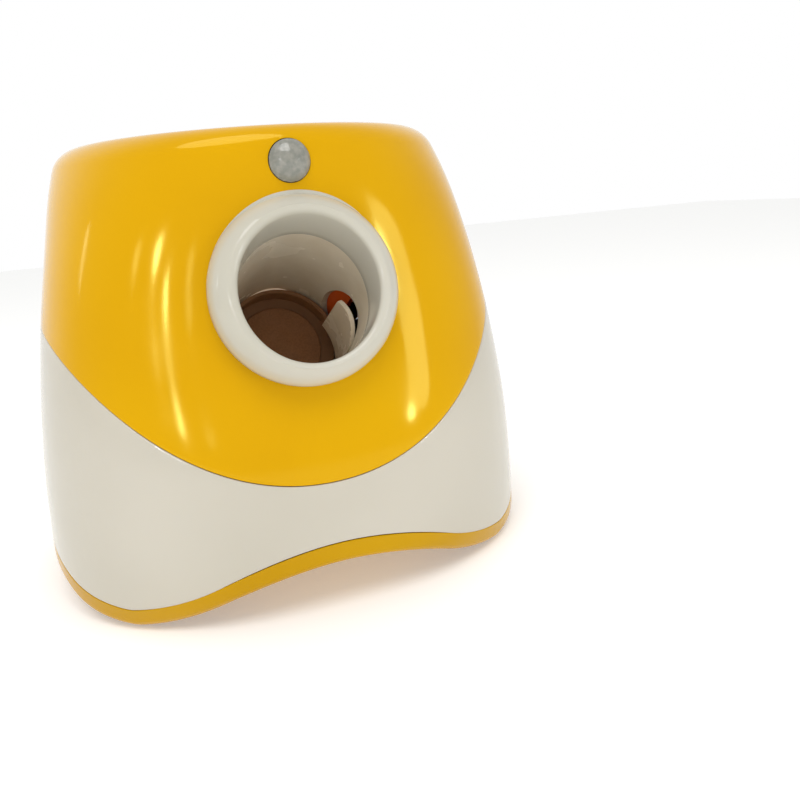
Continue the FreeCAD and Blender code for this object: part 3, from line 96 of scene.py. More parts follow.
def surface(material, **inputs):
    """End a recipe with the shader; underscores in the names stand for spaces."""
    shader = add(material, "BsdfPrincipled",
                 {name.replace("_", " "): value for name, value in inputs.items()})
    end = material.node_tree.nodes.new("ShaderNodeOutputMaterial")
    material.node_tree.links.new(shader, end.inputs["Surface"])
    return material


# %% [markdown]
# ## Glossy ABS
# The shells are injection-moulded ABS from a polished tool. The eye gets a clear mirror
# reflection that still wavers, because the wall shrinks unevenly over a few centimetres as
# it cools, and a faint haze where hands have been. So the colour drifts very slowly, the
# roughness has a cloudy pattern, and two bumps are added: long sink waves and fine peel.
# The amber's pigment lies so close under its surface that its gleam turns a little yellow.

# %% The glossy shells
ABS_IOR = 1.46
DRIFT_MM = 120
HAZE_MM = 28
SINK_MM = 60
PEEL_MM = 1.6


def glossy_abs(name, dark, light, haze, sink=0.25, scatter=0.0, gleam="#FFFFFF"):
    """Polished moulded ABS: haze is its range of roughness, sink its waves' depth in mm."""
    material = blank(name)
    place = add(material, "TexCoord", {}, "Object")
    drift = add(material, "TexNoise", {"Vector": place, "Scale": 1000 / DRIFT_MM})
    spread = add(material, "MapRange", {"Value": drift, "From Min": 0.35, "From Max": 0.65})
    tone = add(material, "MixRGB", {"Fac": spread, "Color1": linear(dark), "Color2": linear(light)})
    cloud = add(material, "TexNoise", {"Vector": place, "Scale": 1000 / HAZE_MM, "Detail": 4})
    rough = add(material, "MapRange", {"Value": cloud, "From Min": 0.3, "From Max": 0.7,
                                       "To Min": haze[0], "To Max": haze[1]})
    wave = add(material, "TexNoise", {"Vector": place, "Scale": 1000 / SINK_MM, "Detail": 0})
    sunk = add(material, "Bump", {"Height": wave, "Distance": sink * MM})
    fine = add(material, "TexNoise", {"Vector": place, "Scale": 1000 / PEEL_MM, "Detail": 1})
    peel = add(material, "Bump", {"Height": fine, "Distance": 0.004 * MM, "Normal": sunk})
    return surface(material, Base_Color=tone, Roughness=rough, Normal=peel, IOR=ABS_IOR,
                   Specular_Tint=linear(gleam), Subsurface_Weight=scatter,
                   Subsurface_Radius=(1.0, 0.8, 0.5), Subsurface_Scale=0.003)


AMBER_GLEAM = "#FFFF90"
amber_abs = glossy_abs("amber_abs_polished", "#D69F00", "#DFA900", (0.06, 0.14),
                       gleam=AMBER_GLEAM)
base_abs = glossy_abs("amber_abs_base", "#BE8C00", "#C89602", (0.12, 0.24), 0.12,
                      gleam=AMBER_GLEAM)
white_abs = glossy_abs("white_abs_polished", "#C4BEAF", "#CDC7B9", (0.08, 0.18), 0.25, 0.08)
ring_abs = glossy_abs("white_abs_ring", "#C5C1B2", "#CECABD", (0.07, 0.15), 0.08, 0.08)
funnel_abs = glossy_abs("amber_abs_funnel", "#D09800", "#D9A200", (0.14, 0.28), 0.15)
print("glossy ABS made in five finishes")

# %% [markdown]
# ## Satin plastics
# Inside, the plastics come from spark-eroded tools: satin, with a grain of a few tenths of a
# millimetre, and a colour that is cloudy where the pigment flowed.

# %% Satin plastics
FLOW_MM = 18


def satin_plastic(name, dark, light, rough=(0.34, 0.48), grain=0.6, scatter=0.0):
    """Moulded plastic from a lightly textured tool; grain is in millimetres."""
    material = blank(name)
    place = add(material, "TexCoord", {}, "Object")
    flow = add(material, "TexNoise", {"Vector": place, "Scale": 1000 / FLOW_MM, "Detail": 3})
    spread = add(material, "MapRange", {"Value": flow, "From Min": 0.3, "From Max": 0.7})
    tone = add(material, "MixRGB", {"Fac": spread, "Color1": linear(dark), "Color2": linear(light)})
    haze = add(material, "MapRange", {"Value": flow, "From Min": 0.3, "From Max": 0.7,
                                      "To Min": rough[0], "To Max": rough[1]})
    eroded = add(material, "TexNoise", {"Vector": place, "Scale": 1000 / grain, "Detail": 3})
    relief = add(material, "Bump", {"Height": eroded, "Distance": 0.015 * MM})
    return surface(material, Base_Color=tone, Roughness=haze, Normal=relief, IOR=1.5,
                   Subsurface_Weight=scatter, Subsurface_Radius=(1.0, 0.8, 0.5),
                   Subsurface_Scale=0.003)


tube_abs = satin_plastic("white_abs_tube", "#D8CBB4", "#E1D7C3", (0.18, 0.30), 0.8, 0.12)
flap_abs = satin_plastic("white_abs_flap", "#E2D3BA", "#EADDC8", (0.2, 0.32), 0.8, 0.15)
red_abs = satin_plastic("orange_red_abs", "#DC5512", "#E8641C", (0.25, 0.4))
black_abs = satin_plastic("black_abs_textured", "#1B1B1C", "#232324")
grey_abs = satin_plastic("grey_abs_textured", "#6C6F73", "#787B7F")
dark_nylon = satin_plastic("brown_nylon_glass_filled", "#8A5F3A", "#996C46", (0.42, 0.6), 0.5)
white_acetal = satin_plastic("white_acetal_gear", "#DDDAD0", "#E6E3DA", (0.28, 0.4), 0.6, 0.1)
button_abs = satin_plastic("white_button_cap", "#D5D2C9", "#DEDBD3", (0.3, 0.42))
chip_epoxy = satin_plastic("black_epoxy_chip", "#161617", "#1F1F20", (0.4, 0.55), 0.4)
cell_film = satin_plastic("blue_shrink_film", "#15488F", "#1B539F", (0.18, 0.3), 2.0)
lamp_clear = satin_plastic("green_tinted_lamp", "#A8C9A0", "#B6D6AE", (0.1, 0.2), 2.0)
lead_vinyl = satin_plastic("red_vinyl_insulation", "#9C1512", "#B01C17", (0.3, 0.45), 1.0)
print("satin plastics made")

# %% [markdown]
# ## Rubber
# Feet, striker pad and the inlet's cover are compression-moulded rubber. It is matt with a
# dusty bloom, darker in its pores, and its highlights are wide and weak.

# %% Rubbers
PORE_MM = 0.9
BLOOM_MM = 9


def moulded_rubber(name, dark, light, rough=(0.6, 0.8)):
    """Soft rubber with an eroded surface, darker in its pores."""
    material = blank(name)
    place = add(material, "TexCoord", {}, "Object")
    pores = add(material, "TexNoise",
                {"Vector": place, "Scale": 1000 / PORE_MM, "Detail": 5, "Roughness": 0.6})
    spread = add(material, "MapRange", {"Value": pores, "From Min": 0.35, "From Max": 0.65})
    tone = add(material, "MixRGB", {"Fac": spread, "Color1": linear(dark), "Color2": linear(light)})
    bloom = add(material, "TexNoise", {"Vector": place, "Scale": 1000 / BLOOM_MM, "Detail": 3})
    haze = add(material, "MapRange", {"Value": bloom, "From Min": 0.3, "From Max": 0.7,
                                      "To Min": rough[0], "To Max": rough[1]})
    relief = add(material, "Bump", {"Height": pores, "Distance": 0.03 * MM})
    return surface(material, Base_Color=tone, Roughness=haze, Normal=relief, IOR=1.52,
                   Sheen_Weight=0.08, Sheen_Roughness=0.5)


foot_rubber = moulded_rubber("grey_foot_rubber", "#5B5A57", "#6A6966")
# The striker's brown is painted light: it stands for amber light that comes through the shells into
# the dim bore.
pad_rubber_painted_amber_light = moulded_rubber("striker_rubber_painted_amber_light", "#93633A", "#A47148")
cover_rubber = moulded_rubber("white_silicone_cover", "#CFCCC4", "#D9D6CE", (0.45, 0.6))
print("rubbers made")

# %% [markdown]
# ## Metals
# Drawn and turned metal carries marks along one direction, so the noise is stretched along
# that axis. The marks change the roughness more than the colour. Metals keep the default IOR.

# %% Metals


def worked_metal(name, dark, light, rough, line, stretch=(1, 1, 1)):
    """Metal whose marks are line millimetres apart, drawn out along an axis of low stretch."""
    material = blank(name)
    place = add(material, "TexCoord", {}, "Object")
    along = add(material, "Mapping", {"Vector": place, "Scale": stretch})
    marks = add(material, "TexNoise",
                {"Vector": along, "Scale": 1000 / line, "Detail": 4, "Roughness": 0.65})
    spread = add(material, "MapRange", {"Value": marks, "From Min": 0.3, "From Max": 0.7})
    tone = add(material, "MixRGB", {"Fac": spread, "Color1": linear(dark), "Color2": linear(light)})
    haze = add(material, "MapRange", {"Value": marks, "From Min": 0.3, "From Max": 0.7,
                                      "To Min": rough[0], "To Max": rough[1]})
    relief = add(material, "Bump", {"Height": marks, "Distance": 0.006 * MM})
    return surface(material, Base_Color=tone, Metallic=1.0, Roughness=haze, Normal=relief)


ALONG_X = (0.1, 1, 1)
zinc_steel = worked_metal("zinc_plated_steel", "#A9ABB0", "#C3C5C9", (0.25, 0.4), 1.2)
ground_steel = worked_metal("ground_steel_pin", "#9B9DA1", "#BEC0C4", (0.12, 0.25), 0.4, ALONG_X)
spring_wire = worked_metal("drawn_spring_wire", "#6F7176", "#8D9095", (0.2, 0.35), 0.6)
turned_brass = worked_metal("turned_brass", "#B08A3A", "#CDA552", (0.18, 0.32), 0.4, ALONG_X)
plated_can = worked_metal("nickel_plated_can", "#A8A9AC", "#C2C3C6", (0.14, 0.26), 0.6, ALONG_X)
print("metals made")

# %% [markdown]
# ## Circuit board
# A board is glass-fibre laminate under green lacquer. The copper under the lacquer shows as
# lighter lines a few millimetres apart, standing up by a few hundredths.

# %% The circuit board
TRACE_PITCH_MM = 4.0
board_green = blank("green_lacquered_board")
place = add(board_green, "TexCoord", {}, "Object")
cells = add(board_green, "TexVoronoi",
            {"Vector": place, "Scale": 1000 / TRACE_PITCH_MM, "Randomness": 0.35},
            feature="DISTANCE_TO_EDGE")
trace = add(board_green, "MapRange", {"Value": cells, "From Min": 0.06, "From Max": 0.09,
                                      "To Min": 1.0, "To Max": 0.0})
lacquer = add(board_green, "MixRGB",
              {"Fac": trace, "Color1": linear("#0E4A28"), "Color2": linear("#1E6B3C")})
relief = add(board_green, "Bump", {"Height": trace, "Distance": 0.03 * MM})
surface(board_green, Base_Color=lacquer, Roughness=0.26, Normal=relief, IOR=1.5)

# %% [markdown]
# ## The sensor's lens
# The little dome over the motion sensor is milky grey polyethylene, moulded thin. Facets on
# its inner side gather warmth from many directions and break the gleam into patches, and
# the milk in it is cloudy and lets a little light scatter inside.

# %% The lens material
MILK_MM = 2.5
FACET_MM = 3.2
lens_pe = blank("milky_polyethylene_lens")
place = add(lens_pe, "TexCoord", {}, "Object")
milk = add(lens_pe, "TexNoise", {"Vector": place, "Scale": 1000 / MILK_MM, "Detail": 3})
spread = add(lens_pe, "MapRange", {"Value": milk, "From Min": 0.35, "From Max": 0.65})
tone = add(lens_pe, "MixRGB",
           {"Fac": spread, "Color1": linear("#82837A"), "Color2": linear("#98968C")})
haze = add(lens_pe, "MapRange", {"Value": milk, "To Min": 0.06, "To Max": 0.16})
facet = add(lens_pe, "TexVoronoi", {"Vector": place, "Scale": 1000 / FACET_MM}, "Distance")
relief = add(lens_pe, "Bump", {"Height": facet, "Distance": 0.2 * MM})
surface(lens_pe, Base_Color=tone, Roughness=haze, Normal=relief, IOR=1.51,
        Subsurface_Weight=0.2, Subsurface_Radius=(1.0, 1.0, 1.0), Subsurface_Scale=0.003,
        Coat_Weight=0.3, Coat_Roughness=0.05)
print("board and lens materials made")

# %% [markdown]
# ## Dressing the frame's own nodes
# Each node of the frame takes the finish of its material slot in the record.

# %% Finish per slot
FINISH = {
    "amber_shell": amber_abs, "white_shell": white_abs, "yellow_base": base_abs,
    "hopper_plastic": funnel_abs, "tube_plastic": tube_abs, "flap_plastic": flap_abs,
    "red_plastic": red_abs, "foot_rubber": foot_rubber, "cover_rubber": cover_rubber,
    "striker_rubber": pad_rubber_painted_amber_light, "zinc_screw": zinc_steel, "bright_steel": ground_steel,
    "spring_steel": spring_wire, "brass_part": turned_brass, "motor_can": plated_can,
    "steel_can": plated_can, "switch_black": black_abs, "black_plastic": black_abs,
    "dark_nylon": dark_nylon, "white_acetal": white_acetal, "grey_plastic": grey_abs,
    "lens_plastic": lens_pe, "board_green": board_green, "lamp_plastic": lamp_clear,
    "button_plastic": button_abs, "cell_wrap": cell_film, "component_black": chip_epoxy,
    "wire_red": lead_vinyl,
}
slot_of = {part["node"]: part["material_slot"] for part in frame["record"]["subparts"]}


def paint(piece, material):
    """Give a piece one material."""
    piece.data.materials.clear()
    piece.data.materials.append(material)


for name, node in nodes.items():
    paint(node, FINISH[slot_of[name]])
print("finishes given to", len(nodes), "nodes")

# %% [markdown]
# ## The body's form
# The shells share one form: a rounded square that narrows upwards and is shallower in front
# than behind. It is given by a few levels, each with a half width, the depth in front of and
# behind the upright axis, and the squareness of the corners. A natural cubic spline through
# the levels gives every height between them, which is what keeps reflections unbroken.

# %% Levels of the form
BODY_HEIGHT = 200.7
RIM_ROUND = 9.0
AXIS_Y = -5.55
LEVELS = np.array((
    (0.0, 119.0, 97.6, 119.0, 2.53),
    (16.0, 118.9, 105.4, 118.9, 2.38),
    (38.0, 117.9, 104.3, 117.9, 2.46),
    (62.0, 115.6, 101.7, 115.6, 2.60),
    (95.0, 111.0, 94.7, 111.0, 2.80),
    (130.0, 104.4, 88.3, 104.4, 2.93),
    (165.0, 96.3, 86.8, 96.3, 2.67),
    (183.0, 91.8, 86.6, 91.8, 2.34),
    (BODY_HEIGHT - RIM_ROUND, 89.0, 86.4, 89.0, 2.17),
))
TOP_LEVEL = np.array((BODY_HEIGHT, 86.2, 86.2, 86.2, 2.0))


def bends(heights, values):
    """Second derivatives of the natural cubic spline through the levels."""
    count = len(heights)
    steps = np.diff(heights)
    matrix = np.eye(count)
    right = np.zeros((count, values.shape[1]))
    for i in range(1, count - 1):
        matrix[i, i - 1:i + 2] = steps[i - 1], 2 * (steps[i - 1] + steps[i]), steps[i]
        rises = (values[i + 1] - values[i]) / steps[i], (values[i] - values[i - 1]) / steps[i - 1]
        right[i] = 6 * (rises[0] - rises[1])
    return np.linalg.solve(matrix, right)


HEIGHTS = LEVELS[:, 0]
SHAPES = LEVELS[:, 1:]
BENDS = bends(HEIGHTS, SHAPES)


def level_at(height):
    """Half width, front depth, rear depth and squareness at a height."""
    i = int(np.clip(np.searchsorted(HEIGHTS, height) - 1, 0, len(HEIGHTS) - 2))
    step = HEIGHTS[i + 1] - HEIGHTS[i]
    after = (height - HEIGHTS[i]) / step
    before = 1 - after
    pull = ((before ** 3 - before) * BENDS[i] + (after ** 3 - after) * BENDS[i + 1])
    return before * SHAPES[i] + after * SHAPES[i + 1] + pull * step ** 2 / 6


def outline(shape, angle, inset):
    """Point (x, y) of a level's outline, seen from the axis at an angle."""
    half, front, rear, squareness = shape
    depth = rear if math.sin(angle) > 0 else front
    across = abs(math.cos(angle)) / (half - inset)
    along = abs(math.sin(angle)) / (depth - inset)
    radius = (across ** squareness + along ** squareness) ** (-1 / squareness)
    return radius * math.cos(angle), radius * math.sin(angle)


def skin(angle, height, inset=0.0):
    """Point of the body's side, in metres in the row frame."""
    x, y = outline(level_at(height), angle, inset)
    return Vector((x, y + AXIS_Y, height)) * MM


def rim(angle, turn, inset=0.0):
    """Point of the rolled rim; turn goes from 0 on the side to a quarter turn on top."""
    reach = RIM_ROUND - inset
    share = reach * math.sin(turn) / RIM_ROUND
    shape = SHAPES[-1] + (TOP_LEVEL[1:] - SHAPES[-1]) * share
    x, y = outline(shape, angle, inset + reach * (1 - math.cos(turn)))
    return Vector((x, y + AXIS_Y, HEIGHTS[-1] + reach * math.sin(turn))) * MM


print("front of the form at mid height:", [round(v, 4) for v in skin(-math.pi / 2, 100)])

# %% [markdown]
# ## Two curves on the form
# The joint between amber and white is a wide U, the same in front and behind. The base's
# lower edge rises in an arch between each pair of feet. Both depend on where a point of
# the skin is, so the height of the curve on a given column is found by repeated looks, each
# of which halves the miss.

# %% The U joint and the arches
SPLIT_LOW, SPLIT_X2, SPLIT_X4 = 57.1, 5.15e-3, 1.13e-7
FRONT_ARCH = (22.0, 103.8, 0.0)
SIDE_ARCH = (18.6, 100.0, -0.6)
TRIM = 9.2
JOINT = 0.35
LOOKS = 40


def split_height(point):
    x = point.x / MM
    return SPLIT_LOW + SPLIT_X2 * x ** 2 + SPLIT_X4 * x ** 4


def arch_rise(arch, across):
    """Height of an arch made of a crown arc and two foot arcs."""
    height, half, foot = arch
    radius = (half ** 2 + height ** 2) / (4 * height)
    across = abs(across)
    if across >= half:
        return foot
    if across <= half / 2:
        return foot + height - radius + math.sqrt(radius ** 2 - across ** 2)
    return foot + radius - math.sqrt(radius ** 2 - (half - across) ** 2)


def arch_height(point):
    return max(arch_rise(FRONT_ARCH, point.x / MM),
               arch_rise(SIDE_ARCH, point.y / MM - AXIS_Y))


def height_where(curve, angle, start, lift=0.0):
    """Height at which a column of the skin meets a curve."""
    height = start
    for _ in range(LOOKS):
        height += 0.5 * (curve(skin(angle, height)) + lift - height)
    return height


joint_heights = [round(height_where(split_height, angle, 90), 1) for angle in (-math.pi / 2, 0)]
print("the U joint is at", joint_heights[0], "mm in front and", joint_heights[1],
      "mm at the sides")

# %% [markdown]
# ## Laying a grid on the form
# A shell starts as a flat grid, whose columns go round the body and whose rows go up it. Each
# vertex is moved to its place, the two ends are joined, and modifiers give the sheet a wall
# and soft edges. That is how the even, unbroken skin of a moulding is had without dents.

# %% Helpers for pieces


def deselect():
    bpy.ops.object.select_all(action="DESELECT")


def only(piece):
    """Make a piece the one selected and active object."""
    deselect()
    piece.select_set(True)
    bpy.context.view_layer.objects.active = piece


def angles_round(columns):
    """Angle of each column round the body, the first one again at the end."""
    return [2 * math.pi * column / columns for column in range(columns + 1)]


def wrapped(name, columns, rows, place):
    """Grid whose vertex at column c and row r goes to place(angle, r), closed round the body."""
    deselect()
    bpy.ops.mesh.primitive_grid_add(x_subdivisions=columns, y_subdivisions=rows, size=1)
    piece = bpy.context.object
    piece.name = name
    for vertex in piece.data.vertices:
        column = round((vertex.co.x + 0.5) * columns)
        row = round((vertex.co.y + 0.5) * rows)
        vertex.co = place(2 * math.pi * column / columns, row)
    bpy.ops.object.mode_set(mode="EDIT")
    bpy.ops.mesh.select_all(action="SELECT")
    bpy.ops.mesh.remove_doubles(threshold=0.00002)
    bpy.ops.mesh.normals_make_consistent(inside=False)
    bpy.ops.object.mode_set(mode="OBJECT")
    return piece


def finish_with(piece, kind, **settings):
    """Add a modifier and apply it."""
    only(piece)
    modifier = piece.modifiers.new(kind.lower(), kind)
    for name, value in settings.items():
        setattr(modifier, name, value)
    bpy.ops.object.modifier_apply(modifier=modifier.name)


def wall(piece, thickness, edge=0.35):
    """Give a sheet an inner side, and round the edges that this makes."""
    finish_with(piece, "SOLIDIFY", thickness=thickness * MM, offset=-1, use_even_offset=True)
    finish_with(piece, "BEVEL", width=edge * MM, segments=3, limit_method="ANGLE",
                angle_limit=math.radians(50), use_clamp_overlap=True)


def smooth(piece, angle=35):
    only(piece)
    bpy.ops.object.shade_smooth_by_angle(angle=math.radians(angle), keep_sharp_edges=False)


def settle(piece):
    """Put a piece's place into its mesh, so that its object sits at the origin."""
    only(piece)
    bpy.ops.object.transform_apply(location=True, rotation=True, scale=True)


def cut(piece, cutter):
    """Take a closed cutter away from a piece, and drop the cutter."""
    settle(cutter)
    finish_with(piece, "BOOLEAN", operation="DIFFERENCE", solver="EXACT", object=cutter)
    bpy.data.objects.remove(cutter)


def aim(direction):
    """Rotation that turns a primitive's +Z to a direction."""
    return Vector(direction).to_track_quat("Z", "Y").to_euler()


def round_bar(name, radius, start, end, vertices=96, edge=0.0):
    """Cylinder between two points in metres, with an optional rounded edge in millimetres."""
    deselect()
    along = end - start
    bpy.ops.mesh.primitive_cylinder_add(
        vertices=vertices, radius=radius * MM, depth=along.length,
        location=(start + end) / 2, rotation=aim(along))
    piece = bpy.context.object
    piece.name = name
    settle(piece)
    if edge:
        finish_with(piece, "BEVEL", width=edge * MM, segments=4, limit_method="ANGLE",
                    angle_limit=math.radians(40))
    return piece


def dress(piece, body, slot_name, *replaced):
    """Paint a finished piece, and say what it rides on, its slot and the nodes it stands for."""
    paint(piece, FINISH[slot_name])
    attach(piece, body)
    if replaced:
        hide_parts(*replaced)
    print(piece.name, "has", len(piece.data.polygons), "faces")


# %% [markdown]
# ## The upper shell
# The amber shell goes from the U joint up over the rolled rim and down a little inside the
# funnel's opening. The mouth, the sensor and the controls need holes, so three cutters are
# taken away at the end. Their edges lie under the ring, the lens and the panel.

# %% Frames of the mouth and the panel
MOUTH = Vector((0, -101.0 + AXIS_Y, 138.2)) * MM
LAUNCH_ANGLE = math.radians(25)
COLLAR_ANGLE = math.radians(12)
TUBE_R = 28.5
COLLAR_R = 39.0
NECK_R = 33.4
OPENING_R = 76.0
SENSOR_Z = 186.2
LENS_R = 8.2
LENS_ROOM = 0.3
TILT = math.radians(9.5)
PANEL_Z = 104.0
PANEL_CUT = Vector((52, 30, 24)) * MM
DRILL = Vector((0, 20, 0)) * MM


def slanted(angle, x, along, up):
    """Point given across, along and square to a line that dips backwards at an angle."""
    turn = Matrix.Rotation(-angle, 3, "X")
    return MOUTH + turn @ (Vector((x, along, up)) * MM)


def in_tube(x, along, up):
    return slanted(LAUNCH_ANGLE, x, along, up)


def in_collar(x, along, up):
    return slanted(COLLAR_ANGLE, x, along, up)


# %% Model the upper shell
SHELL_WALL = 2.4
COLUMNS = 288
SIDE_ROWS = 64
RIM_ROWS = 10
LIP = 1.1
LIP_ROWS = 5
LIP_DROP = 3.2


def upper_place(angle, row):
    if row <= SIDE_ROWS:
        low = lows[angle]
        return skin(angle, low + (HEIGHTS[-1] - low) * row / SIDE_ROWS)
    row -= SIDE_ROWS
    if row <= RIM_ROWS:
        return rim(angle, math.pi / 2 * row / RIM_ROWS)
    turn = math.pi / 2 * (row - RIM_ROWS - 1) / (LIP_ROWS - 1)
    if row <= RIM_ROWS + LIP_ROWS:
        radius = OPENING_R + LIP - LIP * math.sin(turn)
        height = BODY_HEIGHT - LIP + LIP * math.cos(turn)
    else:
        radius = OPENING_R
        height = BODY_HEIGHT - LIP_DROP
    return Vector((radius * math.cos(angle), radius * math.sin(angle) + AXIS_Y, height)) * MM


lows = {angle: height_where(split_height, angle, 90, JOINT / 2)
        for angle in angles_round(COLUMNS)}
shell = wrapped("amber_shell_skin", COLUMNS, SIDE_ROWS + RIM_ROWS + LIP_ROWS + 1, upper_place)
wall(shell, SHELL_WALL)
cut(shell, round_bar("mouth_cutter", NECK_R + 0.4, in_collar(0, -30, 0), in_collar(0, 40, 0)))
front = skin(-math.pi / 2, SENSOR_Z)
cut(shell, round_bar("sensor_cutter", LENS_R + LENS_ROOM, front - DRILL, front + DRILL))
panel_low, panel_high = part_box("control_panel")
middle = (panel_low + panel_high) / 2
deselect()
bpy.ops.mesh.primitive_cube_add(size=1, location=middle, rotation=(TILT, 0, 0),
                                scale=PANEL_CUT)
cut(shell, bpy.context.object)
smooth(shell)
dress(shell, "casing", "amber_shell", "upper_shell")

# %% [markdown]
# ## The white skirt
# The skirt fills the space between the U joint and the base. It is made as the shell is. The
# charging inlet sits in a shallow recess at its back: a hole with a floor let in behind it.

# %% Model the skirt
SKIRT_ROWS = 44
RECESS = 1.7
RECESS_WIDE, RECESS_TALL, RECESS_ROUND = 16, 11, 2.4
RECESS_FLOOR, RECESS_MARGIN = 1.2, 0.5
SOCKET_WIDE, SOCKET_TALL, SOCKET_ROUND = 9.4, 3.7, 1.5
SOCKET_MIDDLE = -5.65
INLET_TURN = math.radians(-12)
socket_low, socket_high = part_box("charge_inlet")
square_out = Vector((-math.sin(INLET_TURN), math.cos(INLET_TURN), 0))


def recess_block(out, wide, deep, tall, round_off):
    """Rounded block at the charging inlet; out is how far its middle lies from the wall."""
    place = (socket_low + socket_high) / 2 + square_out * (out - SOCKET_MIDDLE) * MM
    deselect()
    bpy.ops.mesh.primitive_cube_add(size=1, location=place, rotation=(0, 0, INLET_TURN),
                                    scale=(wide * MM, deep * MM, tall * MM))
    block = bpy.context.object
    settle(block)
    finish_with(block, "BEVEL", width=round_off * MM, segments=5, limit_method="ANGLE")
    return block


def skirt_place(angle, row):
    low, high = skirt_ends[angle]
    return skin(angle, low + (high - low) * row / SKIRT_ROWS)


skirt_ends = {angle: (height_where(arch_height, angle, 15, TRIM + JOINT / 2),
                      height_where(split_height, angle, 90, -JOINT / 2))
              for angle in lows}
skirt = wrapped("white_skirt_skin", COLUMNS, SKIRT_ROWS, skirt_place)
wall(skirt, SHELL_WALL)
cut(skirt, recess_block(0, RECESS_WIDE, 5 * SHELL_WALL, RECESS_TALL, RECESS_ROUND))
smooth(skirt)
dress(skirt, "casing", "white_shell", "lower_skirt")
recess_floor = recess_block(-RECESS - RECESS_FLOOR / 2, RECESS_WIDE + 2 * RECESS_MARGIN,
                            RECESS_FLOOR, RECESS_TALL + 2 * RECESS_MARGIN, 0.1)
cut(recess_floor, recess_block(-RECESS, SOCKET_WIDE, 5 * RECESS_FLOOR, SOCKET_TALL, SOCKET_ROUND))
recess_floor.name = "recess_floor"
smooth(recess_floor)
dress(recess_floor, "casing", "white_shell")

# %% [markdown]
# ## The base
# From outside the base is a band that follows the arches and curls in underneath. A flat
# floor lies inside it, with four short drums below for the rubber feet.

# %% Model the base band
BAND_WALL = 2.2
BAND_EDGE = 0.3
BAND_ROWS = 8
CURL = 3.0
CURL_ROWS = 7


def band_place(angle, row):
    low = band_lows[angle]
    if row <= BAND_ROWS:
        drop = (TRIM - JOINT / 2 - CURL) * row / BAND_ROWS
        return skin(angle, low + TRIM - JOINT / 2 - drop)
    turn = math.pi / 2 * (row - BAND_ROWS) / CURL_ROWS
    return skin(angle, low + CURL * (1 - math.sin(turn)), CURL * (1 - math.cos(turn)))


band_lows = {angle: height_where(arch_height, angle, 5) for angle in lows}
band = wrapped("amber_base_band", COLUMNS, BAND_ROWS + CURL_ROWS, band_place)
wall(band, BAND_WALL, BAND_EDGE)
smooth(band)
dress(band, "casing", "yellow_base")

# %% [markdown]
# The floor is a plate with the body's outline. The drums stand where the rubber feet are.

# %% Model the floor and the feet
FLOOR_LOW, FLOOR_HIGH, FLOOR_INSET = 22.4, 25.0, 2.9
FOOT_HALF = 9.0 * MM
DRUM_R, DRUM_LOW, DRUM_EDGE = 10.6, 1.6, 0.6
deselect()
bpy.ops.mesh.primitive_circle_add(vertices=COLUMNS, radius=1, fill_type="NGON")
floor = bpy.context.object
floor.name = "base_floor"
for vertex in floor.data.vertices:
    angle = math.atan2(vertex.co.y, vertex.co.x)
    vertex.co = skin(angle, FLOOR_HIGH, FLOOR_INSET)
bpy.ops.object.mode_set(mode="EDIT")
bpy.ops.mesh.select_all(action="SELECT")
bpy.ops.mesh.extrude_region_move(
    TRANSFORM_OT_translate={"value": (0, 0, (FLOOR_LOW - FLOOR_HIGH) * MM)})
bpy.ops.mesh.select_all(action="SELECT")
bpy.ops.mesh.normals_make_consistent(inside=False)
bpy.ops.object.mode_set(mode="OBJECT")
smooth(floor)
dress(floor, "casing", "yellow_base", "base_tray")

feet_low, feet_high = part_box("rubber_feet")
corners = [(x, y) for x in (feet_low.x + FOOT_HALF, feet_high.x - FOOT_HALF)
           for y in (feet_low.y + FOOT_HALF, feet_high.y - FOOT_HALF)]
for i, (x, y) in enumerate(corners):
    drum = round_bar(f"base_foot_{i + 1}", DRUM_R, Vector((x, y, DRUM_LOW * MM)),
                     Vector((x, y, FLOOR_LOW * MM)), 64, DRUM_EDGE)
    smooth(drum)
    dress(drum, "casing", "yellow_base")

# %% [markdown]
# ## The mouth ring
# The ring is a domed collar square to a line that leans 12 degrees, while its bore leans 25
# degrees, so its lip is not the same all round, and a lathe can't turn it. A closed grid can
# follow it: its rows run from deep in the bore over the lip and the dome to the body's skin,
# and back along the neck inside. A thin gap is left under the dome, as between two mouldings.

# %% Profile of the ring
LEAN = LAUNCH_ANGLE - COLLAR_ANGLE
BORE_LIP = 2.9
DOME_FROM, DOME_MIDDLE, DOME_TO = (32.0, 0.0), (36.4, 4.0), (COLLAR_R, 11.5)
NECK_BACK = 21.0
RING_GAP = 0.25


def front_of_skin(point):
    """The skin's front (y) at a point's x and height."""
    half, front, _, squareness = level_at(point.z / MM)
    share = 1 - (abs(point.x / MM) / half) ** squareness
    return (AXIS_Y - front * share ** (1 / squareness)) * MM


def side_end(across, up):
    """How far back the ring's side reaches before it meets the skin."""
    along = DOME_TO[1]
    for _ in range(30):
        point = in_collar(COLLAR_R * across, along, COLLAR_R * up)
        along += 0.8 * (front_of_skin(point) - point.y) / MM
    return along - RING_GAP


def dome_arc(count):
    """Points (radius, along) on the arc through the dome's three points."""
    (ax, ay), (bx, by), (cx, cy) = DOME_FROM, DOME_MIDDLE, DOME_TO
    twice = 2 * (ax * (by - cy) + bx * (cy - ay) + cx * (ay - by))
    squares = ax * ax + ay * ay, bx * bx + by * by, cx * cx + cy * cy
    middle_x = (squares[0] * (by - cy) + squares[1] * (cy - ay) + squares[2] * (ay - by)) / twice
    middle_y = (squares[0] * (cx - bx) + squares[1] * (ax - cx) + squares[2] * (bx - ax)) / twice
    radius = math.hypot(ax - middle_x, ay - middle_y)
    first = math.atan2(ay - middle_y, ax - middle_x)
    last = math.atan2(cy - middle_y, cx - middle_x)
    return [(middle_x + radius * math.cos(first + (last - first) * i / count),
             middle_y + radius * math.sin(first + (last - first) * i / count))
            for i in range(count + 1)]


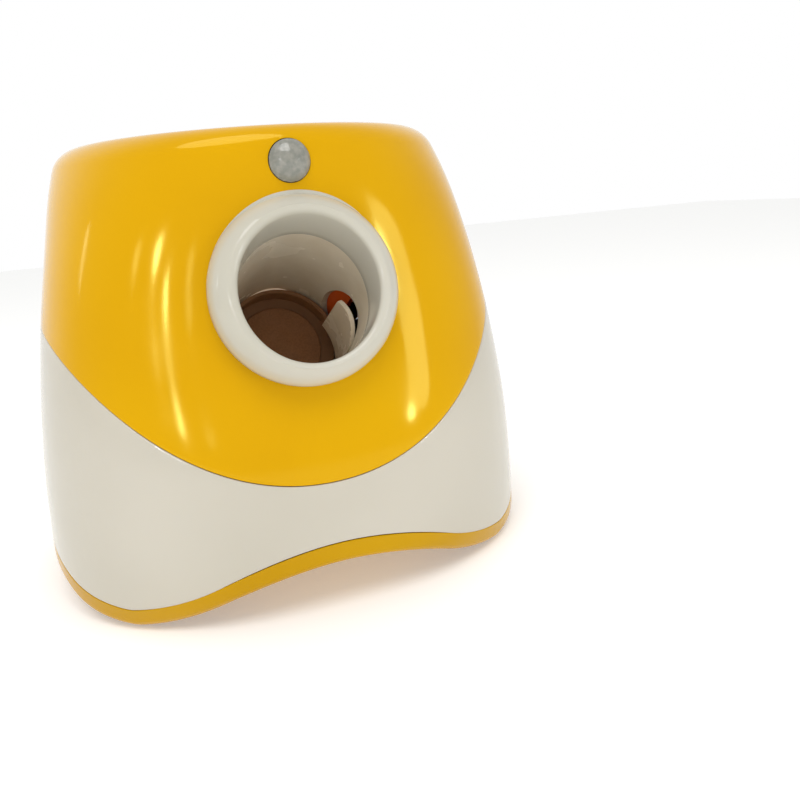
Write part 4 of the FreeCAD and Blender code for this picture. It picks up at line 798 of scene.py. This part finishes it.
def ring_profile(angle):
    """The ring's section at one angle, as points from the bore's back round to the neck's."""
    across, up = math.cos(angle), math.sin(angle)
    start = -TUBE_R * up * math.tan(LEAN)
    back = (NECK_BACK - TUBE_R * up * math.sin(LEAN)) / math.cos(LEAN)
    corner = in_tube(TUBE_R * across, start, TUBE_R * up)
    edge = in_tube(TUBE_R * across, start + BORE_LIP, TUBE_R * up)
    deep = in_tube(TUBE_R * across, back, TUBE_R * up)
    reach = (TUBE_R + BORE_LIP) / TUBE_R
    front = in_collar(TUBE_R * across * reach, 0, TUBE_R * up * reach / math.cos(LEAN))
    points = [deep.lerp(edge, i / 5) for i in range(5)]
    for i in range(9):
        share = i / 8
        points.append(edge.lerp(corner, share).lerp(corner.lerp(front, share), share))
    points += [in_collar(r * across, along, r * up) for r, along in dome_arc(12)]
    end = side_end(across, up)
    for i in range(1, 4):
        along = DOME_TO[1] + (end - DOME_TO[1]) * i / 3
        points.append(in_collar(COLLAR_R * across, along, COLLAR_R * up))
    points.append(in_collar((COLLAR_R - 1.5) * across, end, (COLLAR_R - 1.5) * up))
    points.append(in_collar(NECK_R * across, end, NECK_R * up))
    points.append(in_collar(NECK_R * across, NECK_BACK, NECK_R * up))
    return points + [deep]


# %% Model the ring
RING_COLUMNS = 192
sections = {angle: ring_profile(angle) for angle in angles_round(RING_COLUMNS)}
ring = wrapped("mouth_ring", RING_COLUMNS, len(sections[0]) - 1,
               lambda angle, row: sections[angle][row])
finish_with(ring, "BEVEL", width=0.3 * MM, segments=2, limit_method="ANGLE",
            angle_limit=math.radians(55))
smooth(ring)
dress(ring, "casing", "white_shell", "launch_collar")
paint(ring, ring_abs)

# %% [markdown]
# ## The sensor's lens
# The lens is a shallow cap cut off a ball. An icosphere gives it without poles. It is
# bisected at the cap's foot and shaded smooth, so that lamps show in it as small round
# glints; its pressed facets are in the material. A short sleeve behind it fills the hole.

# %% Model the lens
LENS_RISE, LENS_PROUD, LENS_WALL = 4.2, 0.6, 0.9
SLEEVE = 5.0
ball_r = (LENS_R ** 2 + LENS_RISE ** 2) / (2 * LENS_RISE)
foot = skin(-math.pi / 2, SENSOR_Z) - Vector((0, LENS_PROUD * MM, 0))
deselect()
bpy.ops.mesh.primitive_ico_sphere_add(
    subdivisions=5, radius=ball_r * MM,
    location=foot + Vector((0, (ball_r - LENS_RISE) * MM, 0)))
lens = bpy.context.object
lens.name = "lens_cap"
settle(lens)
bpy.ops.object.mode_set(mode="EDIT")
bpy.ops.mesh.select_all(action="SELECT")
bpy.ops.mesh.bisect(plane_co=foot, plane_no=(0, 1, 0), clear_outer=True)
bpy.ops.mesh.extrude_region_move(TRANSFORM_OT_translate={"value": (0, SLEEVE * MM, 0)})
bpy.ops.object.mode_set(mode="OBJECT")
finish_with(lens, "SOLIDIFY", thickness=LENS_WALL * MM, offset=-1)
smooth(lens)
dress(lens, "casing", "lens_plastic", "sensor_lens")

# %% [markdown]
# ## The funnel
# Balls are dropped in a slanted funnel: its throat lies behind the middle of its rim, so one
# wall is steeper than the other. It is drawn as a hand would: a ring of edges is extruded up
# the throat, then widened and shifted step by step, and turned over into a flange.

# %% Model the funnel
THROAT_R, THROAT_Y, THROAT_LOW = 27.0, 10.0 + AXIS_Y, 140.2
FUNNEL_WALL = 2.4
FUNNEL_HEIGHTS = (146.0, 150.0, 158.0, 168.0, 178.0, 188.0, 195.0, 197.4)
FUNNEL_TOP = FUNNEL_HEIGHTS[-1]
FLANGE_R = 82.4
deselect()
bpy.ops.mesh.primitive_circle_add(vertices=128, radius=THROAT_R * MM,
                                  location=Vector((0, THROAT_Y, THROAT_LOW)) * MM)
funnel = bpy.context.object
funnel.name = "funnel"
settle(funnel)
bpy.ops.object.mode_set(mode="EDIT")
bpy.ops.mesh.select_all(action="SELECT")
radius, middle_y, height = THROAT_R, THROAT_Y, THROAT_LOW
for level in FUNNEL_HEIGHTS:
    share = (level - FUNNEL_HEIGHTS[0]) / (FUNNEL_TOP - FUNNEL_HEIGHTS[0])
    wide = THROAT_R + (OPENING_R - THROAT_R) * share
    shift = THROAT_Y + (AXIS_Y - THROAT_Y) * share
    bpy.ops.mesh.extrude_region_move(
        TRANSFORM_OT_translate={"value": Vector((0, shift - middle_y, level - height)) * MM})
    if wide > radius:
        bpy.ops.transform.resize(value=(wide / radius, wide / radius, 1),
                                 center_override=Vector((0, shift, level)) * MM)
    radius, middle_y, height = wide, shift, level
bpy.ops.mesh.extrude_region_move(TRANSFORM_OT_translate={"value": (0, 0, 0)})
bpy.ops.transform.resize(value=(FLANGE_R / OPENING_R, FLANGE_R / OPENING_R, 1),
                         center_override=Vector((0, AXIS_Y, FUNNEL_TOP)) * MM)
bpy.ops.mesh.select_all(action="SELECT")
bpy.ops.mesh.normals_make_consistent(inside=False)
bpy.ops.object.mode_set(mode="OBJECT")
inward = sum(1 for face in funnel.data.polygons
             if (face.center.x * face.normal.x + (face.center.y - AXIS_Y * MM) * face.normal.y) < 0)
side = -1 if inward > len(funnel.data.polygons) / 2 else 1
finish_with(funnel, "SOLIDIFY", thickness=FUNNEL_WALL * MM, offset=side, use_even_offset=True)
finish_with(funnel, "BEVEL", width=0.5 * MM, segments=3, limit_method="ANGLE",
            angle_limit=math.radians(60))
smooth(funnel)
dress(funnel, "casing", "hopper_plastic", "hopper_bowl")
print("the funnel reaches", [round(v * 1000, 1) for v in funnel.dimensions], "mm")

# %% [markdown]
# ## Marks on the buttons
# Both caps carry a small printed mark with a little height: a ring with a bar for power and
# three rising bars for distance. They ride on their buttons and sink slightly into them.

# %% Model the marks
PANEL_Y = 109.55 + AXIS_Y
CAP_PROUD = 1.8
MARK_DEEP = 0.3
POWER_RING, POWER_LINE = 1.9, 0.22
BAR_WIDE, BAR_PITCH, BAR_LOW = 0.7, 1.4, -1.4
BAR_TALL, BAR_STEP = 1.2, 0.9
outward = Vector((0, math.cos(TILT), math.sin(TILT)))
upward = Vector((0, -math.sin(TILT), math.cos(TILT)))


def on_cap(cap, across, up):
    """Point on a button's face, in metres; across runs to the right as seen from behind."""
    corners = [nodes[cap].matrix_world @ Vector(corner) for corner in nodes[cap].bound_box]
    middle = Vector((sum(corner.x for corner in corners) / 8, PANEL_Y * MM, PANEL_Z * MM))
    return middle + (outward * CAP_PROUD + upward * up - Vector((across, 0, 0))) * MM


def mark_bar(cap, across, up, wide, tall):
    """Flat bar on a button's face, sizes in millimetres."""
    deselect()
    bpy.ops.mesh.primitive_cube_add(size=1, location=on_cap(cap, across, up),
                                    rotation=(TILT, 0, 0))
    piece = bpy.context.object
    piece.scale = (wide * MM, MARK_DEEP * MM, tall * MM)
    settle(piece)
    return piece


def joined(name, pieces):
    """One object out of several."""
    deselect()
    for piece in pieces:
        piece.select_set(True)
    bpy.context.view_layer.objects.active = pieces[0]
    bpy.ops.object.join()
    pieces[0].name = name
    return pieces[0]


deselect()
bpy.ops.mesh.primitive_torus_add(
    major_segments=64, minor_segments=12,
    major_radius=POWER_RING * MM, minor_radius=POWER_LINE * MM,
    location=on_cap("power_button", 0, -0.2), rotation=aim(outward))
ring_mark = bpy.context.object
settle(ring_mark)
power_mark = joined("power_mark", [ring_mark, mark_bar("power_button", 0, 1.2, 0.45, 2.2)])
dress(power_mark, "power", "black_plastic")
bars = []
for i in range(3):
    tall = BAR_TALL + BAR_STEP * i
    bars.append(mark_bar("distance_button", (i - 1) * BAR_PITCH, BAR_LOW + tall / 2,
                         BAR_WIDE, tall))
dress(joined("distance_mark", bars), "distance", "black_plastic")

# %% [markdown]
# ## Stage, light and camera
# A pale floor that glows faintly, as paper lit from below does, and a white room that is
# greyer behind the camera's back. One large soft light hangs above. The other seven are small
# soft boxes, each placed where the gloss mirrors it as a streak or a spot. The view transform
# is the standard one, which keeps a strong yellow as strong as it is.

# %% Floor and world
FLOOR_GLOW = 0.26
deselect()
bpy.ops.mesh.primitive_plane_add(size=6, location=(0, 0, -0.0002))
ground = bpy.context.object
ground.name = "pale_floor"
settle(ground)
paper = blank("white_paper_floor")
surface(paper, Base_Color=linear("#F4F4F2"), Roughness=0.9,
        Emission_Color=linear("#FFFFFF"), Emission_Strength=FLOOR_GLOW)
paint(ground, paper)
bpy.context.scene.view_settings.view_transform = "Standard"
world = bpy.data.worlds.new("studio")
bpy.context.scene.world = world
world.use_nodes = True
backdrop = world.node_tree.nodes["Background"]
backdrop.inputs["Color"].default_value = linear("#FFFFFF")
heading = add(world, "TexCoord", {}, "Generated")
depth = add(world, "SeparateXYZ", {"Vector": heading}, "Y")
behind = add(world, "MapRange", {"Value": depth, "From Min": 0.1, "From Max": 0.6,
                                 "To Min": 0.6, "To Max": 1.0})
world.node_tree.links.new(behind, backdrop.inputs["Strength"])

# %% Lights
CENTRE = Vector((0, -0.08, 0.12))
REACH = 1.5


def soft_box(name, azimuth, elevation, wide, tall, glow):
    """Area light around the casing: angles and sizes in degrees, glow is its radiance."""
    turn, lift = math.radians(azimuth), math.radians(elevation)
    away = Vector((math.sin(turn) * math.cos(lift), -math.cos(turn) * math.cos(lift),
                   math.sin(lift)))
    data = bpy.data.lights.new(name, "AREA")
    data.shape = "ELLIPSE"
    data.size = math.radians(wide) * REACH
    data.size_y = math.radians(tall) * REACH
    data.energy = glow * math.pi * data.size * data.size_y * math.pi / 4
    light = bpy.data.objects.new(name, data)
    bpy.context.scene.collection.objects.link(light)
    light.location = CENTRE + away * REACH
    light.rotation_euler = away.to_track_quat("Z", "Y").to_euler()


for name, azimuth, elevation, wide, tall, glow in (
        ("top_box", -20, 62, 45, 35, 3.6),
        ("window_left_tall", -36.5, 12, 3.2, 5, 44),
        ("window_left_low", -29.5, 6.6, 2.4, 2.2, 50),
        ("window_far_left", -50, 14, 3.5, 6, 6),
        ("window_near", -18, 6, 2.5, 2.5, 6),
        ("strip_right", 37, 3.2, 3.5, 3, 34),
        ("strip_right_wide", 42, 6, 11, 7, 5),
        ("strip_left_edge", -99, 17, 2.5, 12, 6)):
    soft_box(name, azimuth, elevation, wide, tall, glow)
print("eight soft boxes placed")

# %% Camera
CAMERA_AT = Vector((-74.50, -400.78, 170.41)) * MM
HEADING, PITCH, ROLL = math.radians(19.947), math.radians(14.975), math.radians(4.737)
camera_data = bpy.data.cameras.new("portrait")
camera_data.lens = 34.66
camera_data.sensor_width = 36
camera_data.clip_start = 0.01
camera = bpy.data.objects.new("portrait", camera_data)
bpy.context.scene.collection.objects.link(camera)
turn = (Matrix.Rotation(-HEADING, 4, "Z") @ Matrix.Rotation(math.pi / 2 - PITCH, 4, "X")
        @ Matrix.Rotation(-ROLL, 4, "Z"))
camera.matrix_world = Matrix.Translation(CAMERA_AT) @ turn
bpy.context.scene.camera = camera
